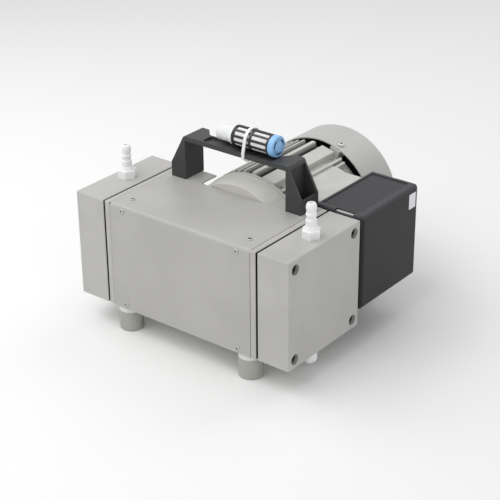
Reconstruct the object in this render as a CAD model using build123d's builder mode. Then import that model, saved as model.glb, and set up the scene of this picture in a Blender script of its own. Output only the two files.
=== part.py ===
"""Two-headed diaphragm vacuum pump with a finned, fan-cooled motor.

Frame: the pump faces -Y, the heads lie to the left and right along X and the floor is Z = 0.
The crankshaft runs along Y through X = 0. All lengths are in millimetres.
"""
import os
from math import cos, degrees, radians, sin, sqrt

from build123d import *

# Overall layout
HEAD_SIDE = 115.0
FOOT_HEIGHT = 28.0
TOTAL_DEPTH = 282.0
FRONT_Y = -TOTAL_DEPTH / 2
REAR_Y = TOTAL_DEPTH / 2
BODY_BACK_Y = FRONT_Y + HEAD_SIDE
BODY_Z0 = FOOT_HEIGHT
BODY_Z1 = BODY_Z0 + HEAD_SIDE
AXIS_Y = FRONT_Y + HEAD_SIDE / 2
AXIS_Z = BODY_Z0 + HEAD_SIDE / 2

# Crank mechanism
THROW = 3.0
SHAFT_R = 8.5
ECCENTRIC_R = 15.0
ROD_BEARING_R = 21.0
ROD_RING_R = 26.0
ROD_WIDTH = 12.0
ROD_GAP = 1.5
RUNNING_GAP = 0.05

# Head stack, measured outwards from the middle of the pump
HOUSING_X = 87.8
PLATE_X0 = 88.0
PLATE_X1 = 94.8
DIAPHRAGM_T = 1.8
HEAD_X0 = PLATE_X1 + DIAPHRAGM_T
HEAD_X1 = 133.4
SIDE_BORE_R = 44.0
INSERT_R = 47.0
INSERT_DEPTH = 13.8
VALVE_Z = 20.0
VALVE_SEAT_X = HEAD_X0 + 10.8
PORT_X = 116.5
SCREW_INSET = 10.0
SCREW_SPAN = HEAD_SIDE - 2 * SCREW_INSET
CLAMP_T = 4.0

# Sheet cover over the front and the top
SHEET = 1.5
COVER_BEND = 4.0
COVER_HALF = 88.0
CUT_HALF = 45.0
CHEEK_X = 62.0

# Round flange and motor
FLANGE_FRONT_R = 67.2
FLANGE_R = 69.5
FLANGE_Y0 = FRONT_Y + 91.0
FLANGE_Y1 = FRONT_Y + 115.0
FRAME_Y0 = FRONT_Y + 119.8
FRAME_Y1 = FRONT_Y + 228.0
FRAME_R = 60.0
FRAME_BORE = 56.2
FIN_TIP_R = 70.0
FIN_ROOT_T = 4.2
FIN_PITCH = 6.8
COWL_R = 71.0
COWL_Y0 = FRONT_Y + 231.0
COWL_T = 1.2
COWL_SCREW_ANGLE = 19.5
BEARING_R = 20.0

# Terminal box on the motor's right side
BOX_X0 = 78.5
BOX_X1 = HEAD_X1
BOX_Y0 = FRONT_Y + 119.0
BOX_Y1 = FRONT_Y + 220.0
BOX_Z0 = BODY_Z0 + 14.0
BOX_Z1 = BODY_Z0 + 116.0
BOX_WALL = 2.2

# Handle and silencer
HANDLE_Y0 = FRONT_Y + 88.0
HANDLE_Y1 = FRONT_Y + 117.0
HANDLE_TOP = BODY_Z1 + 47.5
BAR_T = 5.0
BAR_DEPTH = 18.0
CHANNEL_RIM = 2.0
SILENCER_R = 11.0
CAGE_R = 10.7
SILENCER_Y = FRONT_Y + 102.0
RIM_OFFSET = HANDLE_Y0 + BAR_DEPTH - CHANNEL_RIM - SILENCER_Y
SILENCER_Z = HANDLE_TOP + sqrt(SILENCER_R**2 - RIM_OFFSET**2)

# Planes whose local x runs along the named axis and local y is the radius
CRANK_PLANE = Plane(origin=(0, 0, AXIS_Z), x_dir=(0, 1, 0), z_dir=(1, 0, 0))
CRANK_AXIS = Axis((0, 0, AXIS_Z), (0, 1, 0))
HEAD_PLANE = Plane(origin=(0, AXIS_Y, AXIS_Z), x_dir=(1, 0, 0), z_dir=(0, -1, 0))
HEAD_AXIS = Axis((0, AXIS_Y, AXIS_Z), (1, 0, 0))
SILENCER_PLANE = Plane(origin=(0, SILENCER_Y, SILENCER_Z), x_dir=(1, 0, 0), z_dir=(0, -1, 0))
SILENCER_AXIS = Axis((0, SILENCER_Y, SILENCER_Z), (1, 0, 0))

os.makedirs("parts", exist_ok=True)


def save(piece, label):
    """Name a finished piece and write it as its own STEP file."""
    piece.part.label = label
    export_step(piece.part, f"parts/{label}.step")


def save_mirrored(piece, label):
    """Write the left-hand twin of a right-hand piece."""
    with BuildPart() as twin:
        mirror(piece.part, about=Plane.YZ)
    save(twin, label)


def across(x):
    """Plane facing +X at x on the heads' axis: local x is Y and local y is Z."""
    return Plane(origin=(x, AXIS_Y, AXIS_Z), x_dir=(0, 1, 0), z_dir=(1, 0, 0))


def behind(y):
    """Plane facing +Y at y on the crank axis: local x is -X and local y is Z."""
    return Plane(origin=(0, y, AXIS_Z), x_dir=(-1, 0, 0), z_dir=(0, 1, 0))


def level(z, x=0.0, y=0.0):
    """Horizontal plane facing +Z with its origin at x, y."""
    return Plane(origin=(x, y, z), x_dir=(1, 0, 0), z_dir=(0, 0, 1))


def around(angle, radius):
    """Place on a plane made by behind(): angle in degrees from the top towards +X."""
    return Location((-radius * sin(radians(angle)), radius * cos(radians(angle))), angle)


def cowl_screw_planes():
    """Planes facing outwards on the cowl's surface at its four screws."""
    planes = []
    for step in range(4):
        angle = radians(COWL_SCREW_ANGLE + 90 * step)
        outward = Vector(sin(angle), 0, cos(angle))
        seat = Vector(0, COWL_Y0 + 8, AXIS_Z) + outward * COWL_R
        planes.append(Plane(origin=seat, x_dir=(0, 1, 0), z_dir=outward))
    return planes


def turned(plane, axis, points):
    """Solid of revolution of a closed outline given on a plane."""
    with BuildPart() as body:
        with BuildSketch(plane):
            with BuildLine():
                Polyline(*points, close=True)
            make_face()
        revolve(axis=axis)
    return body


def curved_slot(radius, span, width):
    """Outline of a slot that follows a circle about the origin."""
    with BuildSketch() as slot:
        SlotArc(CenterArc((0, 0), radius, -span / 2, span), width)
    return slot.sketch


# ---------------------------------------------------------------- pump housing
def make_crankcase():
    """Cast housing: open front, side bores for the heads, a round flange between two cheeks."""
    cavity_half = 80.0
    cavity_height = 96.0
    back_wall_y = FRONT_Y + 83.0
    with BuildPart() as case:
        with BuildSketch(Plane.XY.offset(BODY_Z0)):
            with Locations((0, (FRONT_Y + SHEET + 0.1 + BODY_BACK_Y - 0.5) / 2)):
                Rectangle(2 * HOUSING_X, HEAD_SIDE - SHEET - 0.6)
        extrude(amount=HEAD_SIDE - SHEET - 0.1)
        front_top = case.edges().filter_by(Axis.X).sort_by_distance((0, FRONT_Y, BODY_Z1))[0]
        chamfer(front_top, length=COVER_BEND - SHEET)
        with BuildSketch(level(BODY_Z0, 0, (FLANGE_Y0 + BODY_BACK_Y) / 2)):
            Rectangle(2 * CHEEK_X, BODY_BACK_Y - FLANGE_Y0)
        extrude(amount=HEAD_SIDE, mode=Mode.SUBTRACT)
        flange_outline = [
            (FLANGE_Y0, 0), (FLANGE_Y0, FLANGE_FRONT_R - 1), (FLANGE_Y0 + 1, FLANGE_FRONT_R),
            (FLANGE_Y1 - 2, FLANGE_R), (FLANGE_Y1 - 0.6, FLANGE_R), (FLANGE_Y1, FLANGE_R - 0.6),
            (FLANGE_Y1, 0),
        ]
        add(turned(CRANK_PLANE, CRANK_AXIS, flange_outline).part)
        with BuildSketch(behind(FRONT_Y)):
            RectangleRounded(2 * cavity_half, cavity_height, 12)
        extrude(amount=back_wall_y - FRONT_Y, mode=Mode.SUBTRACT)
        with BuildSketch(across(-HOUSING_X)):
            Circle(SIDE_BORE_R)
        extrude(amount=HOUSING_X - cavity_half, mode=Mode.SUBTRACT)
        with BuildSketch(across(cavity_half)):
            Circle(SIDE_BORE_R)
        extrude(amount=HOUSING_X - cavity_half, mode=Mode.SUBTRACT)
        with BuildSketch(behind(back_wall_y)):
            Circle(34)
        extrude(amount=FLANGE_Y1 - back_wall_y, mode=Mode.SUBTRACT)
        with BuildSketch(behind(FLANGE_Y0 + 4)):
            Circle(50)
        extrude(amount=FLANGE_Y1 - FLANGE_Y0 - 4, mode=Mode.SUBTRACT)
        for x in (-HOUSING_X, HOUSING_X - 10):
            with BuildSketch(across(x)):
                with GridLocations(SCREW_SPAN, SCREW_SPAN, 2, 2):
                    Circle(3.1)
            extrude(amount=10, mode=Mode.SUBTRACT)
        with BuildSketch(COVER_FRONT):
            with GridLocations(COVER_SCREW_SPAN, COVER_SCREW_RISE, 2, 2):
                Circle(COVER_SCREW_R + 0.1)
        extrude(amount=-COVER_SCREW_LENGTH - 1, mode=Mode.SUBTRACT)
        with BuildSketch(Plane.XY.offset(BODY_Z1)):
            with Locations(*COVER_TOP_SCREWS):
                Circle(COVER_SCREW_R + 0.1)
        extrude(amount=-COVER_SCREW_LENGTH - 1, mode=Mode.SUBTRACT)
        with BuildSketch(Plane.XY.offset(BODY_Z1 - 14)):
            with Locations((-HANDLE_SCREW_X, HANDLE_SCREW_Y), (HANDLE_SCREW_X, HANDLE_SCREW_Y)):
                Circle(3.1)
        extrude(amount=14, mode=Mode.SUBTRACT)
    return case


def make_front_cover():
    """One bent sheet: the front, a soft bend and the top, cut out round the flange."""
    with BuildPart() as cover:
        with BuildSketch(Plane.YZ.offset(-COVER_HALF)):
            with BuildLine():
                Polyline(
                    (FRONT_Y, BODY_Z0),
                    (FRONT_Y, BODY_Z1),
                    (BODY_BACK_Y, BODY_Z1),
                    (BODY_BACK_Y, BODY_Z1 - SHEET),
                    (FRONT_Y + SHEET, BODY_Z1 - SHEET),
                    (FRONT_Y + SHEET, BODY_Z0),
                    close=True,
                )
            make_face()
        extrude(amount=2 * COVER_HALF)
        long_edges = cover.edges().filter_by(Axis.X)
        fillet(long_edges.sort_by_distance((0, FRONT_Y, BODY_Z1))[0], COVER_BEND)
        long_edges = cover.edges().filter_by(Axis.X)
        inner_corner = (0, FRONT_Y + SHEET, BODY_Z1 - SHEET)
        fillet(long_edges.sort_by_distance(inner_corner)[0], COVER_BEND - SHEET)
        with BuildSketch(Plane.XY.offset(BODY_Z1 - 2 * SHEET)):
            with Locations((0, (FLANGE_Y0 - 0.4 + BODY_BACK_Y) / 2)):
                Rectangle(2 * CUT_HALF, BODY_BACK_Y - FLANGE_Y0 + 0.8)
        extrude(amount=3 * SHEET, mode=Mode.SUBTRACT)
        with BuildSketch(Plane.XY.offset(BODY_Z1 - 2 * SHEET)):
            with Locations((-HANDLE_SCREW_X, HANDLE_SCREW_Y), (HANDLE_SCREW_X, HANDLE_SCREW_Y)):
                Circle(3.4)
            with Locations(*COVER_TOP_SCREWS):
                Circle(COVER_SCREW_R + 0.3)
        extrude(amount=3 * SHEET, mode=Mode.SUBTRACT)
        with BuildSketch(COVER_FRONT):
            with GridLocations(COVER_SCREW_SPAN, COVER_SCREW_RISE, 2, 2):
                Circle(COVER_SCREW_R + 0.3)
        extrude(amount=-SHEET, mode=Mode.SUBTRACT)
    return cover


def make_cover_screws():
    """Low pan-head screws: four on the front and two on the top of the cover."""
    head_r = 2.6
    head_t = 1.0
    with BuildPart() as screws:
        with BuildSketch(COVER_FRONT):
            with GridLocations(COVER_SCREW_SPAN, COVER_SCREW_RISE, 2, 2):
                Circle(head_r)
        extrude(amount=head_t)
        with BuildSketch(Plane.XY.offset(BODY_Z1)):
            with Locations(*COVER_TOP_SCREWS):
                Circle(head_r)
        extrude(amount=head_t)
        fillet(screws.edges().filter_by(GeomType.CIRCLE).group_by(Axis.Y)[0], 0.4)
        fillet(screws.edges().filter_by(GeomType.CIRCLE).group_by(Axis.Z)[-1], 0.4)
        with BuildSketch(COVER_FRONT):
            with GridLocations(COVER_SCREW_SPAN, COVER_SCREW_RISE, 2, 2):
                Circle(COVER_SCREW_R)
        extrude(amount=-COVER_SCREW_LENGTH)
        with BuildSketch(Plane.XY.offset(BODY_Z1)):
            with Locations(*COVER_TOP_SCREWS):
                Circle(COVER_SCREW_R)
        extrude(amount=-COVER_SCREW_LENGTH)
    return screws


# ------------------------------------------------------------------ head stack
def square_block(x0, x1, edge):
    """Square block across the heads' axis with small bevels round both faces."""
    with BuildPart() as block:
        with BuildSketch(across(x0)):
            Rectangle(HEAD_SIDE, HEAD_SIDE)
        extrude(amount=x1 - x0)
        chamfer(block.edges(), length=edge)
    return block


def make_end_plate():
    """Plate between the housing and the head, bored for the support disc."""
    with BuildPart() as plate:
        add(square_block(PLATE_X0, PLATE_X1, 0.7).part)
        with BuildSketch(across(PLATE_X0)):
            Circle(SIDE_BORE_R)
            with GridLocations(SCREW_SPAN, SCREW_SPAN, 2, 2):
                Circle(3.3)
        extrude(amount=PLATE_X1 - PLATE_X0, mode=Mode.SUBTRACT)
    return plate


def make_head_block():
    """Head cover: counterbored at its corners, recessed for the valve insert and ported."""
    recess_x = HEAD_X0 + INSERT_DEPTH
    with BuildPart() as block:
        add(square_block(HEAD_X0, HEAD_X1, 0.8).part)
        with BuildSketch(across(HEAD_X0)):
            Circle(INSERT_R)
        extrude(amount=INSERT_DEPTH, mode=Mode.SUBTRACT)
        with Locations(across(HEAD_X1)):
            with GridLocations(SCREW_SPAN, SCREW_SPAN, 2, 2):
                CounterBoreHole(radius=3.3, counter_bore_radius=5.5, counter_bore_depth=9.5)
        for z, facing in ((BODY_Z1, -1), (BODY_Z0, 1)):
            port_plane = Plane(origin=(PORT_X, AXIS_Y, z), x_dir=(1, 0, 0), z_dir=(0, 0, facing))
            with BuildSketch(port_plane):
                Circle(6.0)
            extrude(amount=9.2, mode=Mode.SUBTRACT)
            with BuildSketch(port_plane):
                Circle(3.5)
            extrude(amount=HEAD_SIDE / 2 - VALVE_Z, mode=Mode.SUBTRACT)
        with BuildSketch(across(recess_x)):
            with Locations((0, VALVE_Z), (0, -VALVE_Z)):
                Circle(5.0)
        extrude(amount=PORT_X + 4 - recess_x, mode=Mode.SUBTRACT)
    return block


def make_head_insert():
    """Valve plate with the working chamber on its inner face and two valve pockets."""
    roof_x = HEAD_X0 + THROW + CLAMP_T + 0.6
    with BuildPart() as insert:
        with BuildSketch(across(HEAD_X0)):
            Circle(INSERT_R - 0.1)
        extrude(amount=INSERT_DEPTH)
        with BuildSketch(HEAD_PLANE):
            with BuildLine():
                Polyline(
                    (HEAD_X0, 0), (HEAD_X0, SIDE_BORE_R), (roof_x, 28.5), (roof_x, 0), close=True
                )
            make_face()
        revolve(axis=HEAD_AXIS, mode=Mode.SUBTRACT)
        with BuildSketch(across(roof_x)):
            with Locations((0, VALVE_Z), (0, -VALVE_Z)):
                Circle(4)
        extrude(amount=INSERT_DEPTH, mode=Mode.SUBTRACT)
        with BuildSketch(across(VALVE_SEAT_X)):
            with Locations((0, VALVE_Z), (0, -VALVE_Z)):
                Circle(9)
        extrude(amount=INSERT_DEPTH, mode=Mode.SUBTRACT)
    return insert


def make_valve(side, z, at_insert):
    """Flat valve disc just off its seat, on the insert or on the head block."""
    thickness = 1.2
    low_x = VALVE_SEAT_X + 0.1 if at_insert else HEAD_X0 + INSERT_DEPTH - 0.1 - thickness
    x = low_x if side > 0 else -low_x - thickness
    with BuildPart() as valve:
        with BuildSketch(across(x)):
            with Locations((0, z)):
                Circle(8)
        extrude(amount=thickness)
    return valve


def make_diaphragm(side):
    """Elastomer disc clamped at its rim, its middle shifted by the throw at dead centre."""
    shift = THROW * side
    x0 = PLATE_X1
    x1 = HEAD_X0
    points = [
        (x0, 49), (x1, 49), (x1, 43.5), (x1 + shift, 31), (x1 + shift, 6.2),
        (x0 + shift, 6.2), (x0 + shift, 31), (x0, 43.5),
    ]
    signed = [(side * x, r) for x, r in points]
    return turned(HEAD_PLANE, HEAD_AXIS, signed)


def make_support_disc(side):
    """Rounded disc that backs the diaphragm on the crank side."""
    x1 = PLATE_X1 + THROW * side
    points = [(x1 - 5, 4.1), (x1 - 5, 12), (x1 - 2, 24), (x1, 26), (x1, 4.1)]
    return turned(HEAD_PLANE, HEAD_AXIS, [(side * x, r) for x, r in points])


def make_clamping_disc(side):
    """Disc on the chamber side whose hub passes through the diaphragm onto the rod's stud."""
    x0 = HEAD_X0 + THROW * side
    hub_x = PLATE_X1 + THROW * side
    points = [
        (hub_x, 4.1), (hub_x, 6), (x0, 6), (x0, 24), (x0 + 1.5, 24),
        (x0 + CLAMP_T, 14), (x0 + CLAMP_T, 0), (x0 + 2, 0), (x0 + 2, 4.1),
    ]
    return turned(HEAD_PLANE, HEAD_AXIS, [(side * x, r) for x, r in points])


def make_head_screws():
    """Eight socket-head cap screws that hold the heads to the housing."""
    head_x = HEAD_X1 - 9.5
    tip_x = HOUSING_X - 8
    with BuildPart() as right:
        with BuildSketch(across(head_x)):
            with GridLocations(SCREW_SPAN, SCREW_SPAN, 2, 2):
                Circle(5.0)
        extrude(amount=6)
        with BuildSketch(across(tip_x)):
            with GridLocations(SCREW_SPAN, SCREW_SPAN, 2, 2):
                Circle(3.0)
        extrude(amount=head_x - tip_x)
        with BuildSketch(across(head_x + 6)):
            with GridLocations(SCREW_SPAN, SCREW_SPAN, 2, 2):
                RegularPolygon(2.9, 6)
        extrude(amount=-3, mode=Mode.SUBTRACT)
    with BuildPart() as screws:
        add(right.part)
        mirror(right.part, about=Plane.YZ)
    return screws


# ------------------------------------------------------------------- fittings
def make_nozzle():
    """Hose barb on top of the right head: hexagon, shoulder, hose land and two barbs."""
    axis = Axis((PORT_X, AXIS_Y, 0), (0, 0, 1))
    plane = Plane(origin=(PORT_X, AXIS_Y, BODY_Z1), x_dir=(1, 0, 0), z_dir=(0, -1, 0))
    with BuildPart() as nozzle:
        with BuildSketch(level(BODY_Z1, PORT_X, AXIS_Y)):
            RegularPolygon(8.4, 6, major_radius=False)
        extrude(amount=9)
        chamfer(nozzle.faces().sort_by(Axis.Z)[-1].edges(), length=0.8)
        with BuildSketch(plane):
            with BuildLine():
                Polyline(
                    (0, -9), (5.9, -9), (5.9, 1), (7.6, 8.9), (5.4, 13), (5.4, 18.5),
                    (4.6, 19.2), (4.6, 21), (5.3, 23.6), (5.3, 24.6), (4.6, 25.4), (4.6, 27.2),
                    (5.3, 30.4), (5.3, 31.6), (4.8, 33.8), (4.0, 35.2), (3.0, 35.6), (0, 35.6),
                    close=True,
                )
            make_face()
        revolve(axis=axis)
        with BuildSketch(level(BODY_Z1 - 9, PORT_X, AXIS_Y)):
            Circle(2.2)
        extrude(amount=45, mode=Mode.SUBTRACT)
    return nozzle


def make_elbow():
    """Elbow under the right head that turns inwards to the connecting tube."""
    with BuildPart() as elbow:
        with BuildSketch(level(BODY_Z0, PORT_X, AXIS_Y)):
            Circle(5.9)
        extrude(amount=9)
        with BuildSketch(level(BODY_Z0 - 5, PORT_X, AXIS_Y)):
            RegularPolygon(7.5, 6, major_radius=False)
        extrude(amount=5)
        with BuildSketch(level(BODY_Z0 - 21, PORT_X, AXIS_Y)):
            Circle(7.4)
        extrude(amount=16.2)
        fillet(elbow.edges().filter_by(GeomType.CIRCLE).group_by(Axis.Z)[0], 5)
        with BuildSketch(Plane(origin=(PORT_X, AXIS_Y, TUBE_Z), x_dir=(0, 1, 0), z_dir=(-1, 0, 0))):
            Circle(6.2)
        extrude(amount=12)
        with BuildSketch(Plane(origin=(PORT_X, AXIS_Y, TUBE_Z), x_dir=(0, 1, 0), z_dir=(-1, 0, 0))):
            Circle(3.9)
        extrude(amount=23)
        with BuildSketch(level(TUBE_Z, PORT_X, AXIS_Y)):
            Circle(2.4)
        extrude(amount=BODY_Z0 + 9 - TUBE_Z, mode=Mode.SUBTRACT)
        with BuildSketch(Plane(origin=(PORT_X, AXIS_Y, TUBE_Z), x_dir=(0, 1, 0), z_dir=(-1, 0, 0))):
            Circle(2.4)
        extrude(amount=24, mode=Mode.SUBTRACT)
    return elbow


def make_connecting_tube():
    """Straight tube under the body that joins the two elbows."""
    reach = PORT_X - 12.2
    with BuildPart() as tube:
        with BuildSketch(Plane(origin=(-reach, AXIS_Y, TUBE_Z), x_dir=(0, 1, 0), z_dir=(1, 0, 0))):
            Circle(5.5)
            Circle(4.0, mode=Mode.SUBTRACT)
        extrude(amount=2 * reach)
    return tube


# ----------------------------------------------------------------------- feet
def make_feet():
    """Four rubber buffers, the front pair under the pump and the rear pair under the motor."""
    with BuildPart() as feet:
        with BuildSketch(Plane.XY):
            with Locations(*FOOT_PLACES):
                Circle(FOOT_R)
        extrude(amount=FOOT_RUBBER)
        fillet(feet.edges().filter_by(GeomType.CIRCLE), 1.2)
    return feet


def make_foot_spacers():
    """Bright metal discs between the rubber buffers and the castings."""
    with BuildPart() as spacers:
        with BuildSketch(Plane.XY.offset(FOOT_RUBBER)):
            with Locations(*FOOT_PLACES):
                Circle(FOOT_R)
        extrude(amount=FOOT_HEIGHT - FOOT_RUBBER)
        fillet(spacers.edges().filter_by(GeomType.CIRCLE).group_by(Axis.Z)[-1], 0.8)
    return spacers


# ---------------------------------------------------------------------- motor
def make_motor_flange():
    """Drive-end shield: spigots in the crankcase and the frame, with the bearing seat."""
    y = FRONT_Y
    points = [
        (y + 97, 24), (y + 110, 24), (y + 110, 49.8), (y + 115.2, 49.8),
        (y + 115.2, FLANGE_R - 0.8), (y + 116, FLANGE_R), (y + 118.6, FLANGE_R),
        (y + 119.4, FLANGE_R - 0.8), (y + 119.4, 56), (y + 124, 56), (y + 124, 52),
        (y + 118, 45), (y + 116, 16), (y + 110, 16), (y + 110, BEARING_R), (y + 97, BEARING_R),
    ]
    return turned(CRANK_PLANE, CRANK_AXIS, points)


def make_motor_frame():
    """Finned barrel with a flat pad on top, a terminal-box pedestal and two feet."""
    length = FRAME_Y1 - FRAME_Y0
    fin_middle = (FIN_TIP_R + FRAME_R) / 2 - 1
    fin_height = FIN_TIP_R - FRAME_R + 2
    with BuildPart() as frame:
        with BuildSketch(behind(FRAME_Y0)):
            Circle(FRAME_R)
            for angle in FIN_ANGLES:
                with Locations(around(angle, fin_middle)):
                    Trapezoid(FIN_ROOT_T, fin_height, 85)
            with Locations(around(-1, fin_middle)):
                Trapezoid(1.6 * FIN_ROOT_T, fin_height, 85)
            with Locations(around(14.5, fin_middle - 1.5)):
                RectangleRounded(16, fin_height, 1)
            with Locations(around(30, fin_middle - 1), around(34.5, fin_middle - 2)):
                RectangleRounded(3, fin_height, 1)
        extrude(amount=length - 3)
        with BuildSketch(CRANK_PLANE):
            with BuildLine():
                round_end = CenterArc((FRAME_Y0 + 5, FIN_TIP_R - 5), 5, 90, 90)
                Polyline(
                    round_end @ 1, (FRAME_Y0 - 1, FIN_TIP_R - 5), (FRAME_Y0 - 1, FIN_TIP_R + 2),
                    (FRAME_Y0 + 5, FIN_TIP_R + 2), round_end @ 0,
                )
            make_face()
        revolve(axis=CRANK_AXIS, mode=Mode.SUBTRACT)
        with BuildSketch(behind(FRAME_Y1 - 3)):
            Circle(FRAME_R + 1)
        extrude(amount=3)
        with BuildSketch(behind(PEDESTAL_Y0)):
            with BuildLine():
                Polyline(
                    (-20, PEDESTAL_RISE + 4), (-42, PEDESTAL_RISE + 3), (-52, PEDESTAL_RISE),
                    (-BOX_X0, PEDESTAL_RISE), (-BOX_X0, -PEDESTAL_DROP), (-20, -PEDESTAL_DROP),
                    close=True,
                )
            make_face()
        extrude(amount=PEDESTAL_Y1 - PEDESTAL_Y0)
        with BuildSketch(Plane.XY.offset(BODY_Z0)):
            with Locations((-FOOT_REAR_X, FOOT_REAR_Y), (FOOT_REAR_X, FOOT_REAR_Y)):
                RectangleRounded(28, 28, 4)
        extrude(amount=30)
        with BuildSketch(behind(FRAME_Y0)):
            Circle(FRAME_BORE)
        extrude(amount=length, mode=Mode.SUBTRACT)
        with BuildSketch(across(BOX_X0)):
            with Locations(((PEDESTAL_Y0 + PEDESTAL_Y1) / 2 - AXIS_Y, 0)):
                Circle(16)
        extrude(amount=-30, mode=Mode.SUBTRACT)
    return frame


def make_stator_core():
    """Laminated stator ring with its winding slots open to the bore."""
    with BuildPart() as stator:
        with BuildSketch(behind(CORE_Y0)):
            Circle(FRAME_BORE - 0.1)
            Circle(34, mode=Mode.SUBTRACT)
            with PolarLocations(42, STATOR_SLOTS):
                SlotOverall(11, 4.4, mode=Mode.SUBTRACT)
            with PolarLocations(36, STATOR_SLOTS):
                Rectangle(6, 1.6, mode=Mode.SUBTRACT)
        extrude(amount=CORE_LENGTH)
    return stator


def make_stator_windings():
    """End turns of the winding at both ends of the stator."""
    with BuildPart() as windings:
        for y in (CORE_Y0 - 13, CORE_Y0 + CORE_LENGTH + 0.1):
            with BuildSketch(behind(y)):
                Circle(51)
                Circle(38, mode=Mode.SUBTRACT)
            extrude(amount=12.9)
        fillet(windings.edges().filter_by(GeomType.CIRCLE), 3)
    return windings


def make_rear_shield():
    """Rear shield with the bearing seat and four lugs that carry the fan cowl."""
    y = FRAME_Y1
    points = [
        (y + 0.1, 62), (y + 6, 60), (y + 9, 30), (y + 11, 24), (y + 11, 13), (y + 8, 13),
        (y + 8, BEARING_R), (y - 4, BEARING_R), (y - 4, 24), (y + 3, 30), (y + 3, 54), (y + 0.1, 55),
    ]
    with BuildPart() as shield:
        add(turned(CRANK_PLANE, CRANK_AXIS, points).part)
        with BuildSketch(behind(y + 1)):
            with PolarLocations(64, 4, start_angle=90 + COWL_SCREW_ANGLE):
                Rectangle(11, 12)
        extrude(amount=14)
        for plane in cowl_screw_planes():
            with BuildSketch(plane):
                Circle(2.0)
            extrude(amount=-9, mode=Mode.SUBTRACT)
    return shield


def make_bearing_outer_rings():
    """Outer rings of the two shaft bearings with their seals."""
    with BuildPart() as rings:
        for y in BEARING_YS:
            points = [
                (y, BEARING_R), (y + 12, BEARING_R), (y + 12, 12.4), (y + 11, 12.4), (y + 11, 16),
                (y + 1, 16), (y + 1, 12.4), (y, 12.4),
            ]
            add(turned(CRANK_PLANE, CRANK_AXIS, points).part)
    return rings


def make_bearing_inner_rings():
    """Inner rings of the two shaft bearings."""
    with BuildPart() as rings:
        for y in BEARING_YS:
            points = [(y, SHAFT_R), (y, 12), (y + 12, 12), (y + 12, SHAFT_R)]
            add(turned(CRANK_PLANE, CRANK_AXIS, points).part)
    return rings


def make_fan_cowl():
    """Sheet cowl, open to the motor, with rings of curved slots in its rear face."""
    y0 = COWL_Y0
    y1 = REAR_Y
    rings = []
    for radius, count in COWL_RINGS:
        span = 360 / count - degrees(COWL_BRIDGE / radius)
        rings.append((count, curved_slot(radius, span, COWL_SLOT)))
    with BuildPart() as cowl:
        with BuildSketch(behind(y0)):
            Circle(COWL_R)
        extrude(amount=y1 - y0)
        fillet(cowl.edges().group_by(Axis.Y)[-1], 6)
        offset(amount=-COWL_T, openings=cowl.faces().sort_by(Axis.Y)[0])
        for count, slot in rings:
            with BuildSketch(behind(y1 - 2 * COWL_T)):
                with PolarLocations(0, count):
                    add(slot)
            extrude(amount=3 * COWL_T, mode=Mode.SUBTRACT)
        for plane in cowl_screw_planes():
            with BuildSketch(plane):
                Circle(2.0)
            extrude(amount=-2 * COWL_T, mode=Mode.SUBTRACT)
    return cowl


def make_cowl_screws():
    """Four pan-head screws through the cowl's front edge into the rear shield's lugs."""
    with BuildPart() as screws:
        for plane in cowl_screw_planes():
            with BuildSketch(plane):
                Circle(3.6)
            extrude(amount=2.4)
            with BuildSketch(plane):
                Circle(1.9)
            extrude(amount=-8)
    return screws


# ------------------------------------------------------------- rotating parts
def make_motor_shaft():
    """Stepped shaft from the eccentric to the fan."""
    y = FRONT_Y
    points = [
        (y + 40, 0), (y + 40, SHAFT_R - 1), (y + 41, SHAFT_R), (CORE_Y0 - 14, SHAFT_R),
        (CORE_Y0 - 14, 11), (BEARING_YS[1] - 2, 11), (BEARING_YS[1] - 2, SHAFT_R),
        (y + 240, SHAFT_R), (y + 240, 6), (y + 268, 6), (y + 268, 0),
    ]
    return turned(CRANK_PLANE, CRANK_AXIS, points)


def make_rotor_core():
    """Rotor cage with end rings."""
    y0 = CORE_Y0
    y1 = CORE_Y0 + CORE_LENGTH
    points = [
        (y0, 11), (y0, 22), (y0 - 6, 22), (y0 - 6, 32), (y0, 33.4), (y1, 33.4), (y1 + 6, 32),
        (y1 + 6, 22), (y1, 22), (y1, 11),
    ]
    return turned(CRANK_PLANE, CRANK_AXIS, points)


def make_eccentric():
    """Crank disc set off the shaft's axis by the throw, with a collar behind the rods."""
    length = 2 * ROD_WIDTH + ROD_GAP + 1
    with BuildPart() as crank:
        with BuildSketch(behind(AXIS_Y - length / 2)):
            with Locations((-THROW, 0)):
                Circle(ECCENTRIC_R)
        extrude(amount=length)
        with BuildSketch(behind(AXIS_Y + length / 2)):
            with Locations((-THROW, 0)):
                Circle(ECCENTRIC_R + 2)
        extrude(amount=2)
        with BuildSketch(behind(AXIS_Y - length / 2)):
            Circle(SHAFT_R)
        extrude(amount=length + 2, mode=Mode.SUBTRACT)
    return crank


def make_counterweight():
    """Half-round weight opposite the eccentric."""
    with BuildPart() as weight:
        with BuildSketch(behind(AXIS_Y + 16)):
            with BuildLine():
                arc = CenterArc((0, 0), 33, -90, 180)
                Line(arc @ 1, arc @ 0)
            make_face()
            Circle(14)
            Circle(SHAFT_R, mode=Mode.SUBTRACT)
        extrude(amount=8)
    return weight


def make_cooling_fan():
    """Radial fan: hub, back disc and nine curved blades."""
    disc_y = COWL_Y0 + 14
    with BuildSketch() as blade:
        SlotArc(ThreePointArc((10.5, -2), (34, 6), (55.5, 3)), 2)
    with BuildPart() as fan:
        with BuildSketch(behind(disc_y)):
            Circle(58)
        extrude(amount=2)
        with BuildSketch(behind(disc_y)):
            Circle(13)
        extrude(amount=18)
        with BuildSketch(behind(disc_y + 1)):
            with PolarLocations(0, 9):
                add(blade.sketch)
        extrude(amount=15)
        with BuildSketch(behind(disc_y)):
            Circle(6)
        extrude(amount=18, mode=Mode.SUBTRACT)
    return fan


def rod_y(side):
    """Middle of one rod's big end along the crank pin."""
    return AXIS_Y + side * (ROD_WIDTH + ROD_GAP) / 2


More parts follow.
